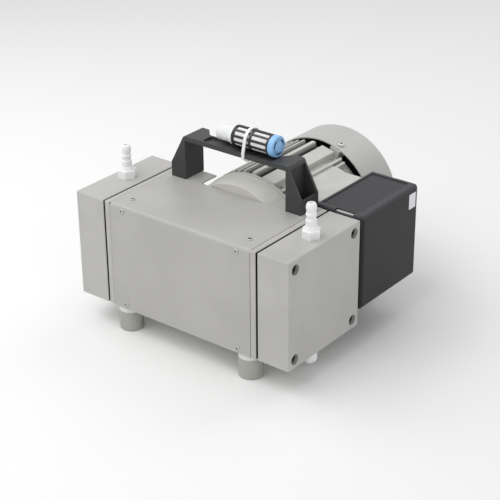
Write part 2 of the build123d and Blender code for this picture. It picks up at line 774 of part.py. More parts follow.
def make_rod(side):
    """Connecting rod: big-end ring, pocketed cranked shank and the diaphragm stud."""
    eye_y = rod_y(side)
    flange_x = PLATE_X1 - 5 + THROW * side
    eye_plane = Plane(origin=(THROW, eye_y - ROD_WIDTH / 2, AXIS_Z), x_dir=(-1, 0, 0), z_dir=(0, 1, 0))
    with BuildPart() as rod:
        with BuildSketch(eye_plane):
            Circle(ROD_RING_R)
        extrude(amount=ROD_WIDTH)
        with BuildSketch(Plane.XY.offset(AXIS_Z - 7)):
            with BuildLine():
                Polyline(
                    (THROW + side * 20, eye_y - 5), (side * 44, eye_y - 5),
                    (side * 60, AXIS_Y - 5), (side * (flange_x - 2), AXIS_Y - 5),
                    (side * (flange_x - 2), AXIS_Y + 5), (side * 60, AXIS_Y + 5),
                    (side * 44, eye_y + 5), (THROW + side * 20, eye_y + 5), close=True,
                )
            make_face()
        extrude(amount=14)
        for z in (AXIS_Z - 7, AXIS_Z + 3.5):
            with BuildSketch(Plane.XY.offset(z)):
                with BuildLine():
                    Polyline(
                        (side * 34, eye_y - 3), (side * 44, eye_y - 3), (side * 60, AXIS_Y - 3),
                        (side * 78, AXIS_Y - 3), (side * 78, AXIS_Y + 3), (side * 60, AXIS_Y + 3),
                        (side * 44, eye_y + 3), (side * 34, eye_y + 3), close=True,
                    )
                make_face()
            extrude(amount=3.5, mode=Mode.SUBTRACT)
        end_plane = Plane(
            origin=(side * (flange_x - 4), AXIS_Y, AXIS_Z), x_dir=(0, 1, 0), z_dir=(side, 0, 0)
        )
        with BuildSketch(end_plane):
            Circle(11)
        extrude(amount=4)
        with BuildSketch(end_plane):
            Circle(4)
        extrude(amount=4 + 5 + DIAPHRAGM_T + 1.5)
        with BuildSketch(eye_plane):
            Circle(ROD_BEARING_R)
        extrude(amount=ROD_WIDTH, mode=Mode.SUBTRACT)
    return rod


def make_rod_bearing(side):
    """Big-end bearing that runs on the eccentric."""
    plane = Plane(
        origin=(THROW, rod_y(side) - ROD_WIDTH / 2, AXIS_Z), x_dir=(-1, 0, 0), z_dir=(0, 1, 0)
    )
    with BuildPart() as bearing:
        with BuildSketch(plane):
            Circle(ROD_BEARING_R)
            Circle(ECCENTRIC_R + RUNNING_GAP, mode=Mode.SUBTRACT)
        extrude(amount=ROD_WIDTH)
    return bearing


# --------------------------------------------------------------- terminal box
def make_terminal_box():
    """Base tray of the terminal box: a thin flange and a rim that plugs into the cover."""
    with BuildPart() as base:
        with BuildSketch(BOX_PLANE):
            RectangleRounded(BOX_DEPTH, BOX_HEIGHT, BOX_CORNER)
        extrude(amount=BOX_FLANGE_T)
        with BuildSketch(BOX_PLANE):
            RectangleRounded(BOX_DEPTH - 2 * BOX_WALL - 0.4, BOX_HEIGHT - 2 * BOX_WALL - 0.4, 1)
        extrude(amount=BOX_BASE_T)
        with BuildSketch(BOX_PLANE.offset(BOX_FLANGE_T)):
            RectangleRounded(BOX_DEPTH - 14, BOX_HEIGHT - 14, 3)
        extrude(amount=BOX_BASE_T, mode=Mode.SUBTRACT)
        with BuildSketch(BOX_PLANE):
            Circle(14)
        extrude(amount=3, mode=Mode.SUBTRACT)
        with BuildSketch(BOX_PLANE):
            with GridLocations(LID_SCREW_DEPTH, LID_SCREW_HEIGHT, 2, 2):
                Circle(1.7)
        extrude(amount=BOX_BASE_T, mode=Mode.SUBTRACT)
    return base


def make_terminal_box_lid():
    """Deep moulded cover, rounded all round, with a sunk panel and two notches on top."""
    plane = BOX_PLANE.offset(BOX_FLANGE_T + 0.1)
    panel_x = BOX_X0 + BOX_FLANGE_T
    with BuildPart() as lid:
        with BuildSketch(plane):
            RectangleRounded(BOX_DEPTH, BOX_HEIGHT, BOX_CORNER)
        extrude(amount=BOX_X1 - BOX_X0 - BOX_FLANGE_T - 0.1)
        fillet(lid.edges().group_by(Axis.X)[-1], 4.5)
        offset(amount=-BOX_WALL, openings=lid.faces().sort_by(Axis.X)[0])
        with BuildSketch(BOX_PLANE.offset(BOX_BASE_T + 0.1)):
            with GridLocations(LID_SCREW_DEPTH, LID_SCREW_HEIGHT, 2, 2):
                Circle(4)
        extrude(amount=8)
        with BuildSketch(plane):
            with GridLocations(LID_SCREW_DEPTH, LID_SCREW_HEIGHT, 2, 2):
                Circle(1.7)
        extrude(amount=BOX_BASE_T + 4.5, mode=Mode.SUBTRACT)
        with BuildSketch(level(BOX_Z1, (panel_x + BOX_X1 - LID_RIM) / 2, (BOX_Y0 + BOX_Y1) / 2)):
            Rectangle(BOX_X1 - LID_RIM - panel_x, BOX_DEPTH - 12)
        extrude(amount=-0.8, mode=Mode.SUBTRACT)
        with BuildSketch(level(BOX_Z1 - BOX_WALL - 0.3)):
            with Locations((LID_NOTCH_X, BOX_Y0)):
                Rectangle(LID_NOTCH_WIDTH, 12)
            with Locations((LID_NOTCH_X - 10, BOX_Y1)):
                Rectangle(LID_NOTCH_WIDTH / 2, 5)
        extrude(amount=BOX_WALL + 1, mode=Mode.SUBTRACT)
        with BuildSketch(Plane(origin=(INLET_X, BOX_Y1, INLET_Z), x_dir=(-1, 0, 0), z_dir=(0, 1, 0))):
            Rectangle(27.2, 20.2)
        extrude(amount=-2 * BOX_WALL, mode=Mode.SUBTRACT)
        with BuildSketch(Plane(origin=(INLET_X, BOX_Y1, SWITCH_Z), x_dir=(-1, 0, 0), z_dir=(0, 1, 0))):
            Rectangle(20.2, 12.2)
        extrude(amount=-2 * BOX_WALL, mode=Mode.SUBTRACT)
    return lid


def make_lid_clip():
    """Bright spring strip under the cover's roof, seen through the front notch."""
    with BuildPart() as clip:
        with BuildSketch(level(BOX_Z1 - BOX_WALL)):
            with Locations((LID_NOTCH_X, BOX_Y0 + 4.6)):
                RectangleRounded(LID_NOTCH_WIDTH + 5, 2.6, 0.8)
        extrude(amount=-0.8)
    return clip


def make_lid_screws():
    """Four screws through the base tray into the cover's bosses."""
    with BuildPart() as screws:
        with BuildSketch(BOX_PLANE.offset(-2)):
            with GridLocations(LID_SCREW_DEPTH, LID_SCREW_HEIGHT, 2, 2):
                Circle(2.8)
        extrude(amount=2)
        with BuildSketch(BOX_PLANE):
            with GridLocations(LID_SCREW_DEPTH, LID_SCREW_HEIGHT, 2, 2):
                Circle(1.6)
        extrude(amount=BOX_BASE_T + 6)
    return screws


def make_run_capacitor():
    """Motor capacitor inside the terminal box."""
    with BuildPart() as capacitor:
        with BuildSketch(Plane(origin=(108, BOX_Y0 + 14, BOX_Z0 + 30), x_dir=(-1, 0, 0), z_dir=(0, 1, 0))):
            Circle(18)
        extrude(amount=60)
        fillet(capacitor.edges().filter_by(GeomType.CIRCLE), 2)
    return capacitor


def make_power_inlet():
    """Appliance inlet on the box's rear face with three contact pins."""
    plane = Plane(origin=(INLET_X, BOX_Y1, INLET_Z), x_dir=(-1, 0, 0), z_dir=(0, 1, 0))
    with BuildPart() as inlet:
        with BuildSketch(plane):
            RectangleRounded(31, 24, 2)
        extrude(amount=2)
        with BuildSketch(plane):
            Rectangle(27, 20)
        extrude(amount=-20)
        with BuildSketch(plane.offset(2)):
            Rectangle(23.6, 16.4)
        extrude(amount=-19, mode=Mode.SUBTRACT)
        with BuildSketch(plane.offset(-17.5)):
            with Locations((-7, -2), (0, 2), (7, -2)):
                Rectangle(2, 4)
        extrude(amount=12)
    return inlet


def make_switch_housing():
    """Frame of the mains rocker switch."""
    plane = Plane(origin=(INLET_X, BOX_Y1, SWITCH_Z), x_dir=(-1, 0, 0), z_dir=(0, 1, 0))
    with BuildPart() as housing:
        with BuildSketch(plane):
            RectangleRounded(24, 16, 1.5)
        extrude(amount=1.6)
        with BuildSketch(plane):
            Rectangle(20, 12)
        extrude(amount=-14)
        with BuildSketch(plane.offset(1.6)):
            Rectangle(16.4, 9.4)
        extrude(amount=-11.6, mode=Mode.SUBTRACT)
    return housing


def make_switch_rocker():
    """Rocker, tipped to one side about an upright axis just inside its frame."""
    tip = radians(ROCKER_TIP)
    plane = Plane(
        origin=(INLET_X, BOX_Y1 - ROCKER_PIVOT_DEPTH, SWITCH_Z - ROCKER_HEIGHT / 2),
        x_dir=(-cos(tip), sin(tip), 0),
        z_dir=(0, 0, 1),
    )
    with BuildPart() as rocker:
        with BuildSketch(plane):
            with BuildLine():
                Polyline(
                    (-7.6, -1.5), (0, -3.3), (7.6, -1.5), (6.8, 3.1), (-6.8, 3.1), close=True
                )
            make_face()
        extrude(amount=ROCKER_HEIGHT)
    return rocker


# ----------------------------------------------------------- handle, silencer
def make_handle():
    """Moulded handle: two legs with open pockets, joined by a channelled grip bar."""
    foot_x = 82.0
    shoulder_z = BODY_Z1 + 15.5
    top_x = 65.0
    inner_x = 63.5
    wall = 2.5
    bar_y1 = HANDLE_Y0 + BAR_DEPTH
    with BuildPart() as handle:
        with BuildSketch(Plane(origin=(0, HANDLE_Y1, 0), x_dir=(1, 0, 0), z_dir=(0, -1, 0))):
            with BuildLine():
                Polyline(
                    (-foot_x, BODY_Z1), (-foot_x, shoulder_z), (-top_x, HANDLE_TOP),
                    (top_x, HANDLE_TOP), (foot_x, shoulder_z), (foot_x, BODY_Z1),
                    (inner_x, BODY_Z1), (inner_x, HANDLE_TOP - BAR_T),
                    (-inner_x, HANDLE_TOP - BAR_T), (-inner_x, BODY_Z1), close=True,
                )
            make_face()
        extrude(amount=HANDLE_Y1 - HANDLE_Y0)
        fillet(handle.edges().filter_by(Axis.Y).group_by(Axis.Z)[-1], 3)
        with BuildSketch(Plane.XY.offset(HANDLE_TOP - 2 * BAR_T)):
            with BuildLine():
                Polyline(
                    (-56, HANDLE_Y1 + 1), (-45, bar_y1), (45, bar_y1), (56, HANDLE_Y1 + 1),
                    close=True,
                )
            make_face()
        extrude(amount=3 * BAR_T, mode=Mode.SUBTRACT)
        with BuildSketch(level(HANDLE_TOP, 2, HANDLE_Y0 + BAR_DEPTH / 2)):
            RectangleRounded(88, BAR_DEPTH - 2 * CHANNEL_RIM, 3)
        extrude(amount=-BAR_T / 2, mode=Mode.SUBTRACT)
        for side in (-1, 1):
            middle_y = (HANDLE_Y0 + HANDLE_Y1) / 2
            with BuildSketch(Plane(origin=(0, middle_y, 0), x_dir=(1, 0, 0), z_dir=(0, -1, 0))):
                with BuildLine():
                    Polyline(
                        (side * (inner_x + wall), BODY_Z1 + 6),
                        (side * (inner_x + wall), HANDLE_TOP - 4), (side * 92, HANDLE_TOP - 4),
                        (side * 92, shoulder_z - 1), (side * (foot_x - wall), shoulder_z - 1),
                        (side * (foot_x - wall), BODY_Z1 + 6), close=True,
                    )
                make_face()
            extrude(amount=(HANDLE_Y1 - HANDLE_Y0) / 2 - wall, both=True, mode=Mode.SUBTRACT)
        with BuildSketch(Plane.XY.offset(BODY_Z1)):
            with Locations((-HANDLE_SCREW_X, HANDLE_SCREW_Y), (HANDLE_SCREW_X, HANDLE_SCREW_Y)):
                Circle(3.3)
        extrude(amount=8, mode=Mode.SUBTRACT)
    return handle


def make_handle_screws():
    """Two cap screws in the handle's pockets."""
    places = [(-HANDLE_SCREW_X, HANDLE_SCREW_Y), (HANDLE_SCREW_X, HANDLE_SCREW_Y)]
    with BuildPart() as screws:
        with BuildSketch(Plane.XY.offset(BODY_Z1 - 12)):
            with Locations(*places):
                Circle(3)
        extrude(amount=18)
        with BuildSketch(Plane.XY.offset(BODY_Z1 + 6)):
            with Locations(*places):
                Circle(5)
        extrude(amount=6)
        with BuildSketch(Plane.XY.offset(BODY_Z1 + 12)):
            with Locations(*places):
                RegularPolygon(2.9, 6)
        extrude(amount=-3, mode=Mode.SUBTRACT)
    return screws


def make_silencer_cage():
    """Slotted cage of the exhaust silencer: three rings joined by bars."""
    x0 = SILENCER_X0
    ring = 2.6
    window = (SILENCER_CAP_X - x0 - 3 * ring) / 2
    with BuildPart() as cage:
        with BuildSketch(SILENCER_END):
            Circle(CAGE_R)
            Circle(CAGE_R - 1.5, mode=Mode.SUBTRACT)
        extrude(amount=SILENCER_CAP_X - x0)
        for start in (x0 + ring, x0 + window + 2 * ring):
            with BuildSketch(SILENCER_END.offset(start - x0)):
                with PolarLocations(CAGE_R, 10):
                    Rectangle(5, 4.8)
            extrude(amount=window, mode=Mode.SUBTRACT)
    return cage


def make_silencer_felt():
    """Felt sleeve inside the cage."""
    with BuildPart() as felt:
        with BuildSketch(SILENCER_END):
            Circle(CAGE_R - 1.6)
            Circle(5, mode=Mode.SUBTRACT)
        extrude(amount=SILENCER_CAP_X - SILENCER_X0)
    return felt


def make_silencer_cap():
    """End cap with a slightly raised middle inside three curved slots."""
    x = SILENCER_CAP_X
    r = SILENCER_R
    points = [(x, 0), (x, r), (x + 5, r), (x + 6, r - 1), (x + 6, 5.6), (x + 6.5, 5), (x + 6.5, 0)]
    slot = curved_slot(7.2, 50, 1.5)
    with BuildPart() as cap:
        add(turned(SILENCER_PLANE, SILENCER_AXIS, points).part)
        with BuildSketch(SILENCER_END.offset(x + 6.5 - SILENCER_X0)):
            with PolarLocations(0, 3, start_angle=CAP_SLOT_ANGLE):
                add(slot)
        extrude(amount=-2.5, mode=Mode.SUBTRACT)
    return cap


def make_silencer_nipple():
    """Threaded fitting at the silencer's inlet end."""
    x = SILENCER_X0
    points = [
        (x, 3), (x, 10.2), (x - 2.5, 10.2), (x - 3, 8.6), (x - 20, 8.6), (x - 21.5, 7.4),
        (x - 21.5, 3),
    ]
    return turned(SILENCER_PLANE, SILENCER_AXIS, points)


def make_cable_tie():
    """Tie strapped round the silencer and the grip bar, with its lock block below."""
    strap_t = 1.2
    slack = 0.15
    with BuildPart() as tie:
        for grow, mode in ((slack + strap_t, Mode.ADD), (slack, Mode.SUBTRACT)):
            front_y = HANDLE_Y0 - grow
            back_y = HANDLE_Y0 + BAR_DEPTH + grow
            low_z = HANDLE_TOP - BAR_T - grow
            with BuildSketch(Plane.YZ.offset(TIE_X)):
                with BuildLine():
                    CenterArc((SILENCER_Y, SILENCER_Z), SILENCER_R + grow, 0, 360)
                    Polyline(
                        (front_y, HANDLE_TOP), (front_y, low_z), (back_y, low_z),
                        (back_y, HANDLE_TOP),
                    )
                make_hull()
            extrude(amount=TIE_WIDTH, mode=mode)
        with BuildSketch(level(HANDLE_TOP - BAR_T - strap_t - 4, TIE_X + TIE_WIDTH / 2, HANDLE_Y0 + 6)):
            Rectangle(TIE_WIDTH + 1.6, 6)
        extrude(amount=4.4)
    return tie


# Values that depend on the layout above
HANDLE_SCREW_X = 73.0
HANDLE_SCREW_Y = HANDLE_Y0 + 14.5
TUBE_Z = BODY_Z0 - 13.5
FOOT_R = 12.5
FOOT_RUBBER = 22.0
FOOT_FRONT_X = 78.0
FOOT_FRONT_Y = FRONT_Y + 13.5
FOOT_REAR_X = 50.0
FOOT_REAR_Y = FRONT_Y + 198.0
FOOT_PLACES = [
    (-FOOT_FRONT_X, FOOT_FRONT_Y), (FOOT_FRONT_X, FOOT_FRONT_Y),
    (-FOOT_REAR_X, FOOT_REAR_Y), (FOOT_REAR_X, FOOT_REAR_Y),
]
FOOT_ANGLE = -139
ALL_FINS = [-11.5 - FIN_PITCH * step for step in range(30)]
FIN_ANGLES = [angle for angle in ALL_FINS if abs(angle - FOOT_ANGLE) > 10.5]
COVER_FRONT = Plane(origin=(0, FRONT_Y, AXIS_Z), x_dir=(1, 0, 0), z_dir=(0, -1, 0))
COVER_SCREW_SPAN = 144.0
COVER_SCREW_RISE = 104.5
COVER_TOP_SCREWS = [(-73.7, FRONT_Y + 18.7), (73.7, FRONT_Y + 18.7)]
COVER_SCREW_R = 1.5
COVER_SCREW_LENGTH = 7.0
PEDESTAL_Y0 = FRONT_Y + 134.0
PEDESTAL_Y1 = FRONT_Y + 208.0
PEDESTAL_RISE = 53.5
PEDESTAL_DROP = 29.5
CORE_Y0 = FRONT_Y + 150.0
CORE_LENGTH = 56.0
BEARING_YS = (FRONT_Y + 98.0, FRONT_Y + 224.0)
COWL_RINGS = ((16, 3), (26, 4), (36, 6), (46, 8), (56, 8))
COWL_SLOT = 5.2
COWL_BRIDGE = 11.0
STATOR_SLOTS = 24
BOX_DEPTH = BOX_Y1 - BOX_Y0
BOX_HEIGHT = BOX_Z1 - BOX_Z0
BOX_BASE_T = 10.0
BOX_FLANGE_T = 2.5
BOX_CORNER = 3.0
LID_RIM = 9.0
LID_NOTCH_X = BOX_X0 + 32.0
LID_NOTCH_WIDTH = 22.0
LID_SCREW_DEPTH = BOX_DEPTH - 11
LID_SCREW_HEIGHT = BOX_HEIGHT - 11
BOX_PLANE = Plane(
    origin=(BOX_X0, (BOX_Y0 + BOX_Y1) / 2, (BOX_Z0 + BOX_Z1) / 2), x_dir=(0, 1, 0), z_dir=(1, 0, 0)
)
INLET_X = 111.0
INLET_Z = BOX_Z0 + 64.0
SWITCH_Z = BOX_Z0 + 88.0
ROCKER_TIP = 8.0
ROCKER_PIVOT_DEPTH = 1.9
ROCKER_HEIGHT = 8.8
SILENCER_X0 = -6.5
SILENCER_CAP_X = 39.0
CAP_SLOT_ANGLE = 150
SILENCER_END = Plane(origin=(SILENCER_X0, SILENCER_Y, SILENCER_Z), x_dir=(0, 1, 0), z_dir=(1, 0, 0))
TIE_X = 8.0
TIE_WIDTH = 4.4

save(make_crankcase(), "crankcase")
save(make_front_cover(), "front_cover")
save(make_cover_screws(), "cover_screws")
for maker, name in (
    (make_end_plate, "end_plate"),
    (make_head_block, "head_block"),
    (make_head_insert, "head_insert"),
    (make_nozzle, "nozzle"),
    (make_elbow, "elbow"),
):
    piece = maker()
    save(piece, name + "_right")
    save_mirrored(piece, name + "_left")
for side, name in ((1, "right"), (-1, "left")):
    save(make_diaphragm(side), "diaphragm_" + name)
    save(make_support_disc(side), "support_disc_" + name)
    save(make_clamping_disc(side), "clamping_disc_" + name)
    save(make_rod(side), "rod_" + name)
    save(make_rod_bearing(side), "rod_bearing_" + name)
    save(make_valve(side, side * VALVE_Z, at_insert=False), "inlet_valve_" + name)
    save(make_valve(side, -side * VALVE_Z, at_insert=True), "outlet_valve_" + name)
save(make_head_screws(), "head_screws")
save(make_connecting_tube(), "connecting_tube")
save(make_feet(), "rubber_feet")
save(make_foot_spacers(), "foot_spacers")
save(make_motor_flange(), "motor_flange")
save(make_motor_frame(), "motor_frame")
save(make_stator_core(), "stator_core")
save(make_stator_windings(), "stator_windings")
save(make_rear_shield(), "rear_shield")
save(make_bearing_outer_rings(), "bearing_outer_rings")
save(make_bearing_inner_rings(), "bearing_inner_rings")
save(make_fan_cowl(), "fan_cowl")
save(make_cowl_screws(), "cowl_screws")
save(make_motor_shaft(), "motor_shaft")
save(make_rotor_core(), "rotor_core")
save(make_eccentric(), "eccentric")
save(make_counterweight(), "counterweight")
save(make_cooling_fan(), "cooling_fan")
save(make_terminal_box(), "terminal_box")
save(make_terminal_box_lid(), "terminal_box_lid")
save(make_lid_clip(), "lid_clip")
save(make_lid_screws(), "lid_screws")
save(make_run_capacitor(), "run_capacitor")
save(make_power_inlet(), "power_inlet")
save(make_switch_housing(), "switch_housing")
save(make_switch_rocker(), "switch_rocker")
save(make_handle(), "handle")
save(make_handle_screws(), "handle_screws")
save(make_silencer_cage(), "silencer_cage")
save(make_silencer_felt(), "silencer_felt")
save(make_silencer_cap(), "silencer_cap")
save(make_silencer_nipple(), "silencer_nipple")
save(make_cable_tie(), "cable_tie")
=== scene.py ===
# %% [markdown]
# # A two-headed diaphragm vacuum pump
# The pump arrives as a fixed frame of named solids at their real size, in metres. This lesson
# lights it, gives every solid its real finish, and adds the small things that a solid model
# leaves out: screw recesses, the silencer's thread and felt, a cable tie with its lock, a dark
# shade ring in the cowl and a plain sticker. Seams, fin roots, cap slots and screw recesses
# carry painted shade, and the lid's rounded edge carries a painted highlight.
# Nothing of the frame is moved, so every new piece takes its place from the frame itself.

import math

import bmesh
import bpy
from mathutils import Matrix, Vector


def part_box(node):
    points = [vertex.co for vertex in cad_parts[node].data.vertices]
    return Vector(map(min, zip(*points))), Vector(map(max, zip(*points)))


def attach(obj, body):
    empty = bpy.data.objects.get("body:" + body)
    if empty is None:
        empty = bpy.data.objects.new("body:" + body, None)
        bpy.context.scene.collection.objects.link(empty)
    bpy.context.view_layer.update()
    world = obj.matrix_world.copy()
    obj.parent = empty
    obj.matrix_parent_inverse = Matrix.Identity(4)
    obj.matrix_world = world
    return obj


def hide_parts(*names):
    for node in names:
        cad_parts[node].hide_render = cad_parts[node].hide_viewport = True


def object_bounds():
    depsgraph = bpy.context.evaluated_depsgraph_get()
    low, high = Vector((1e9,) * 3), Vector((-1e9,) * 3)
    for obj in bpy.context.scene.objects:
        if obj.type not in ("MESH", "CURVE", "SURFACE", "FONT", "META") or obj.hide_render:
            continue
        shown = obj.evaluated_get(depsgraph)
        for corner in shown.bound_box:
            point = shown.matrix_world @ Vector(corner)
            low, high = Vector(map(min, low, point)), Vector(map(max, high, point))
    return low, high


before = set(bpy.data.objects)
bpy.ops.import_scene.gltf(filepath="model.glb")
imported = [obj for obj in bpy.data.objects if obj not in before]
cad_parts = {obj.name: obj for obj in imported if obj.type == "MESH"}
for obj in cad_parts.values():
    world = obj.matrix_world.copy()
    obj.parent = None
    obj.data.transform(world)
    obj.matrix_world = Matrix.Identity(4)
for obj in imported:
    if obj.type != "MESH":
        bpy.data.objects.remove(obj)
cad_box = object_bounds()
BODY = "pump_body"
print("nodes:", len(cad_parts), "box:", cad_box)

# %% [markdown]
# ## Camera
# A product shot of a machine is taken with a long lens from well away, so that its upright edges
# stay almost parallel. The camera aims at a point above the front edge of the right-hand head.
# Its place is worked out from two angles and a distance, which are easier to judge than three
# coordinates, and a small roll finishes it.

# %% Camera
HEAD_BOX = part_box("head_block_right")
AIM = Vector((0.0887, HEAD_BOX[0][1], HEAD_BOX[1][2] + 0.0009))
AZIMUTH = math.radians(38.29)
ELEVATION = math.radians(26.73)
ROLL = math.radians(0.519)
DISTANCE = 1.3246
LENS = 103.63


def look_from(aim, azimuth, elevation, distance):
    """Place on the far side of the view direction from the aim point."""
    flat = math.cos(elevation)
    back = Vector((math.sin(azimuth) * flat, -math.cos(azimuth) * flat, math.sin(elevation)))
    return aim + back * distance, back


place, back = look_from(AIM, AZIMUTH, ELEVATION, DISTANCE)
camera_data = bpy.data.cameras.new("camera")
camera_data.lens = LENS
camera_data.sensor_width = 36.0
camera = bpy.data.objects.new("camera", camera_data)
camera.location = place
turn = back.to_track_quat("Z", "Y") @ Matrix.Rotation(-ROLL, 4, "Z").to_quaternion()
camera.rotation_mode = "QUATERNION"
camera.rotation_quaternion = turn
bpy.context.scene.collection.objects.link(camera)
bpy.context.scene.camera = camera
print("camera at", [round(c, 3) for c in place])

# %% [markdown]
# ## Floor and light
# The pump stands on a plain pale floor under broad soft lamps. The key lamp is large, in front
# and above. Weaker ones stand at the left, at the right and behind, and the world fills the
# shadows. The floor is a matt white card. The world is white to the camera, and to glossy rays
# too, so that metal and plastic mirror a white studio.

# %% World and view settings
scene = bpy.context.scene
scene.view_settings.view_transform = "Standard"
WORLD_FILL = 0.45


def white_to_camera(nodes, links, plain, white):
    """Mix two shaders so that camera, glossy and transmission rays meet the white one."""
    path = nodes.new("ShaderNodeLightPath")
    sharp = nodes.new("ShaderNodeMath")
    sharp.operation = "MAXIMUM"
    seen = nodes.new("ShaderNodeMath")
    seen.operation = "MAXIMUM"
    mix = nodes.new("ShaderNodeMixShader")
    links.new(path.outputs["Is Glossy Ray"], sharp.inputs[0])
    links.new(path.outputs["Is Transmission Ray"], sharp.inputs[1])
    links.new(path.outputs["Is Camera Ray"], seen.inputs[0])
    links.new(sharp.outputs[0], seen.inputs[1])
    links.new(seen.outputs[0], mix.inputs[0])
    links.new(plain.outputs[0], mix.inputs[1])
    links.new(white.outputs[0], mix.inputs[2])
    return mix


world = bpy.data.worlds.new("studio")
world.use_nodes = True
scene.world = world
nodes, links = world.node_tree.nodes, world.node_tree.links
fill = nodes["Background"]
fill.inputs["Color"].default_value = (1.0, 1.0, 1.0, 1.0)
fill.inputs["Strength"].default_value = WORLD_FILL
white = nodes.new("ShaderNodeBackground")
white.inputs["Strength"].default_value = 1.0
links.new(white_to_camera(nodes, links, fill, white).outputs[0],
          nodes["World Output"].inputs["Surface"])
print("world fill", WORLD_FILL)

# %% Lamps
CENTRE = Vector(((cad_box[0][0] + cad_box[1][0]) / 2, (cad_box[0][1] + cad_box[1][1]) / 2, 0.1))


def lamp(name, azimuth, elevation, distance, size, watts):
    """Square area lamp that faces the middle of the pump."""
    data = bpy.data.lights.new(name, "AREA")
    data.shape = "SQUARE"
    data.size = size
    data.energy = watts
    light = bpy.data.objects.new(name, data)
    angles = math.radians(azimuth), math.radians(elevation)
    light.location, away = look_from(CENTRE, *angles, distance)
    light.rotation_euler = away.to_track_quat("Z", "Y").to_euler()
    scene.collection.objects.link(light)


lamp("key_lamp", -12, 52, 1.6, 1.1, 8.0)
lamp("left_lamp", -75, 50, 1.3, 0.9, 5.0)
lamp("side_lamp", 75, 30, 1.7, 1.2, 2.4)
lamp("back_lamp", 170, 50, 1.7, 1.2, 5.0)

# %% Floor
bpy.ops.object.select_all(action="DESELECT")
bpy.ops.mesh.primitive_plane_add(size=8.0, location=(0, 0, cad_box[0][2]))
floor = bpy.context.object
floor.name = "floor"
floor_look = bpy.data.materials.new("studio_floor")
floor_look.use_nodes = True
nodes, links = floor_look.node_tree.nodes, floor_look.node_tree.links
card = nodes["Principled BSDF"]
card.inputs["Base Color"].default_value = (0.98, 0.98, 0.98, 1.0)
card.inputs["Roughness"].default_value = 0.9
floor.data.materials.append(floor_look)
print("floor at height", cad_box[0][2])

# %% [markdown]
# ## A kit for finishes
# Every finish below is a Principled shader fed by small procedural patterns on Object
# coordinates, which stay fixed to the metal wherever the camera stands. Three patterns do most
# of the work: a broad cloud that shifts the colour a little, a fine grain that becomes bump, and
# a roughness that wanders by a few hundredths.

# %% Shaders and patterns
def linear(red, green, blue):
    """Screen values from 0 to 255 as the linear colour that a shader wants."""
    out = []
    for value in (red, green, blue):
        c = value / 255
        out.append(c / 12.92 if c <= 0.04045 else ((c + 0.055) / 1.055) ** 2.4)
    return (*out, 1.0)


def shade(color, factor):
    """The same colour, lighter or darker."""
    return (*(min(1.0, c * factor) for c in color[:3]), 1.0)


def new_finish(name, color, roughness, metallic=0.0):
    """An empty finish: its shader is set, and patterns are added afterwards."""
    finish = bpy.data.materials.new(name)
    finish.use_nodes = True
    shader = finish.node_tree.nodes["Principled BSDF"]
    shader.inputs["Base Color"].default_value = color
    shader.inputs["Roughness"].default_value = roughness
    shader.inputs["Metallic"].default_value = metallic
    return finish


def noise(finish, scale, detail=2.0):
    """Noise texture on Object coordinates; scale is in waves per metre."""
    nodes, links = finish.node_tree.nodes, finish.node_tree.links
    where = nodes.new("ShaderNodeTexCoord")
    pattern = nodes.new("ShaderNodeTexNoise")
    pattern.inputs["Scale"].default_value = scale
    pattern.inputs["Detail"].default_value = detail
    links.new(where.outputs["Object"], pattern.inputs["Vector"])
    return pattern


def vary_color(finish, pattern, dark, light):
    """Colour that wanders between two shades in the middle of a pattern's range."""
    nodes, links = finish.node_tree.nodes, finish.node_tree.links
    ramp = nodes.new("ShaderNodeValToRGB")
    ramp.color_ramp.elements[0].position = 0.35
    ramp.color_ramp.elements[0].color = dark
    ramp.color_ramp.elements[1].position = 0.65
    ramp.color_ramp.elements[1].color = light
    links.new(pattern.outputs["Fac"], ramp.inputs["Fac"])
    links.new(ramp.outputs["Color"], nodes["Principled BSDF"].inputs["Base Color"])


def vary_roughness(finish, pattern, low, high):
    """Roughness that wanders between two values with a pattern."""
    nodes, links = finish.node_tree.nodes, finish.node_tree.links
    spread = nodes.new("ShaderNodeMapRange")
    spread.inputs["To Min"].default_value = low
    spread.inputs["To Max"].default_value = high
    links.new(pattern.outputs["Fac"], spread.inputs["Value"])
    links.new(spread.outputs["Result"], nodes["Principled BSDF"].inputs["Roughness"])


def raise_grain(finish, pattern, height):
    """Bump of a real height, in metres, from a pattern."""
    nodes, links = finish.node_tree.nodes, finish.node_tree.links
    bump = nodes.new("ShaderNodeBump")
    bump.inputs["Distance"].default_value = height
    bump.inputs["Strength"].default_value = 1.0
    links.new(pattern.outputs["Fac"], bump.inputs["Height"])
    links.new(bump.outputs["Normal"], nodes["Principled BSDF"].inputs["Normal"])


print("shader and pattern helpers ready")


# %% A whole finish
def textured(name, color, roughness, cloud, grain, height, metallic=0.0, swing=0.04):
    """Finish with a cloud in its colour, wandering roughness and a fine grain."""
    finish = new_finish(name, color, roughness, metallic)
    broad = noise(finish, cloud)
    vary_color(finish, broad, shade(color, 1 - swing), shade(color, 1 + swing))
    vary_roughness(finish, broad, roughness - 0.05, roughness + 0.05)
    raise_grain(finish, noise(finish, grain, detail=1.0), height)
    return finish


print("whole finishes ready")

# %% [markdown]
# ## Colour by place
# Some surfaces change colour at a known place: seams, fin roots and slots are darkened as
# painted shade, a rounded edge gets a painted highlight, and a sunk panel is mottled. A mask is
# a factor worked out from Object coordinates, either along one axis or outwards from an axis.
# Two masks multiplied give a band.

# %% Masks
def mask(finish, axis, start, end):
    """Factor that rises from 0 to 1 between two places along an axis of the frame."""
    nodes, links = finish.node_tree.nodes, finish.node_tree.links
    place = nodes.new("ShaderNodeTexCoord")
    split = nodes.new("ShaderNodeSeparateXYZ")
    ramp = nodes.new("ShaderNodeMapRange")
    ramp.inputs["From Min"].default_value = start
    ramp.inputs["From Max"].default_value = end
    links.new(place.outputs["Object"], split.inputs["Vector"])
    links.new(split.outputs[axis], ramp.inputs["Value"])
    return ramp.outputs["Result"]


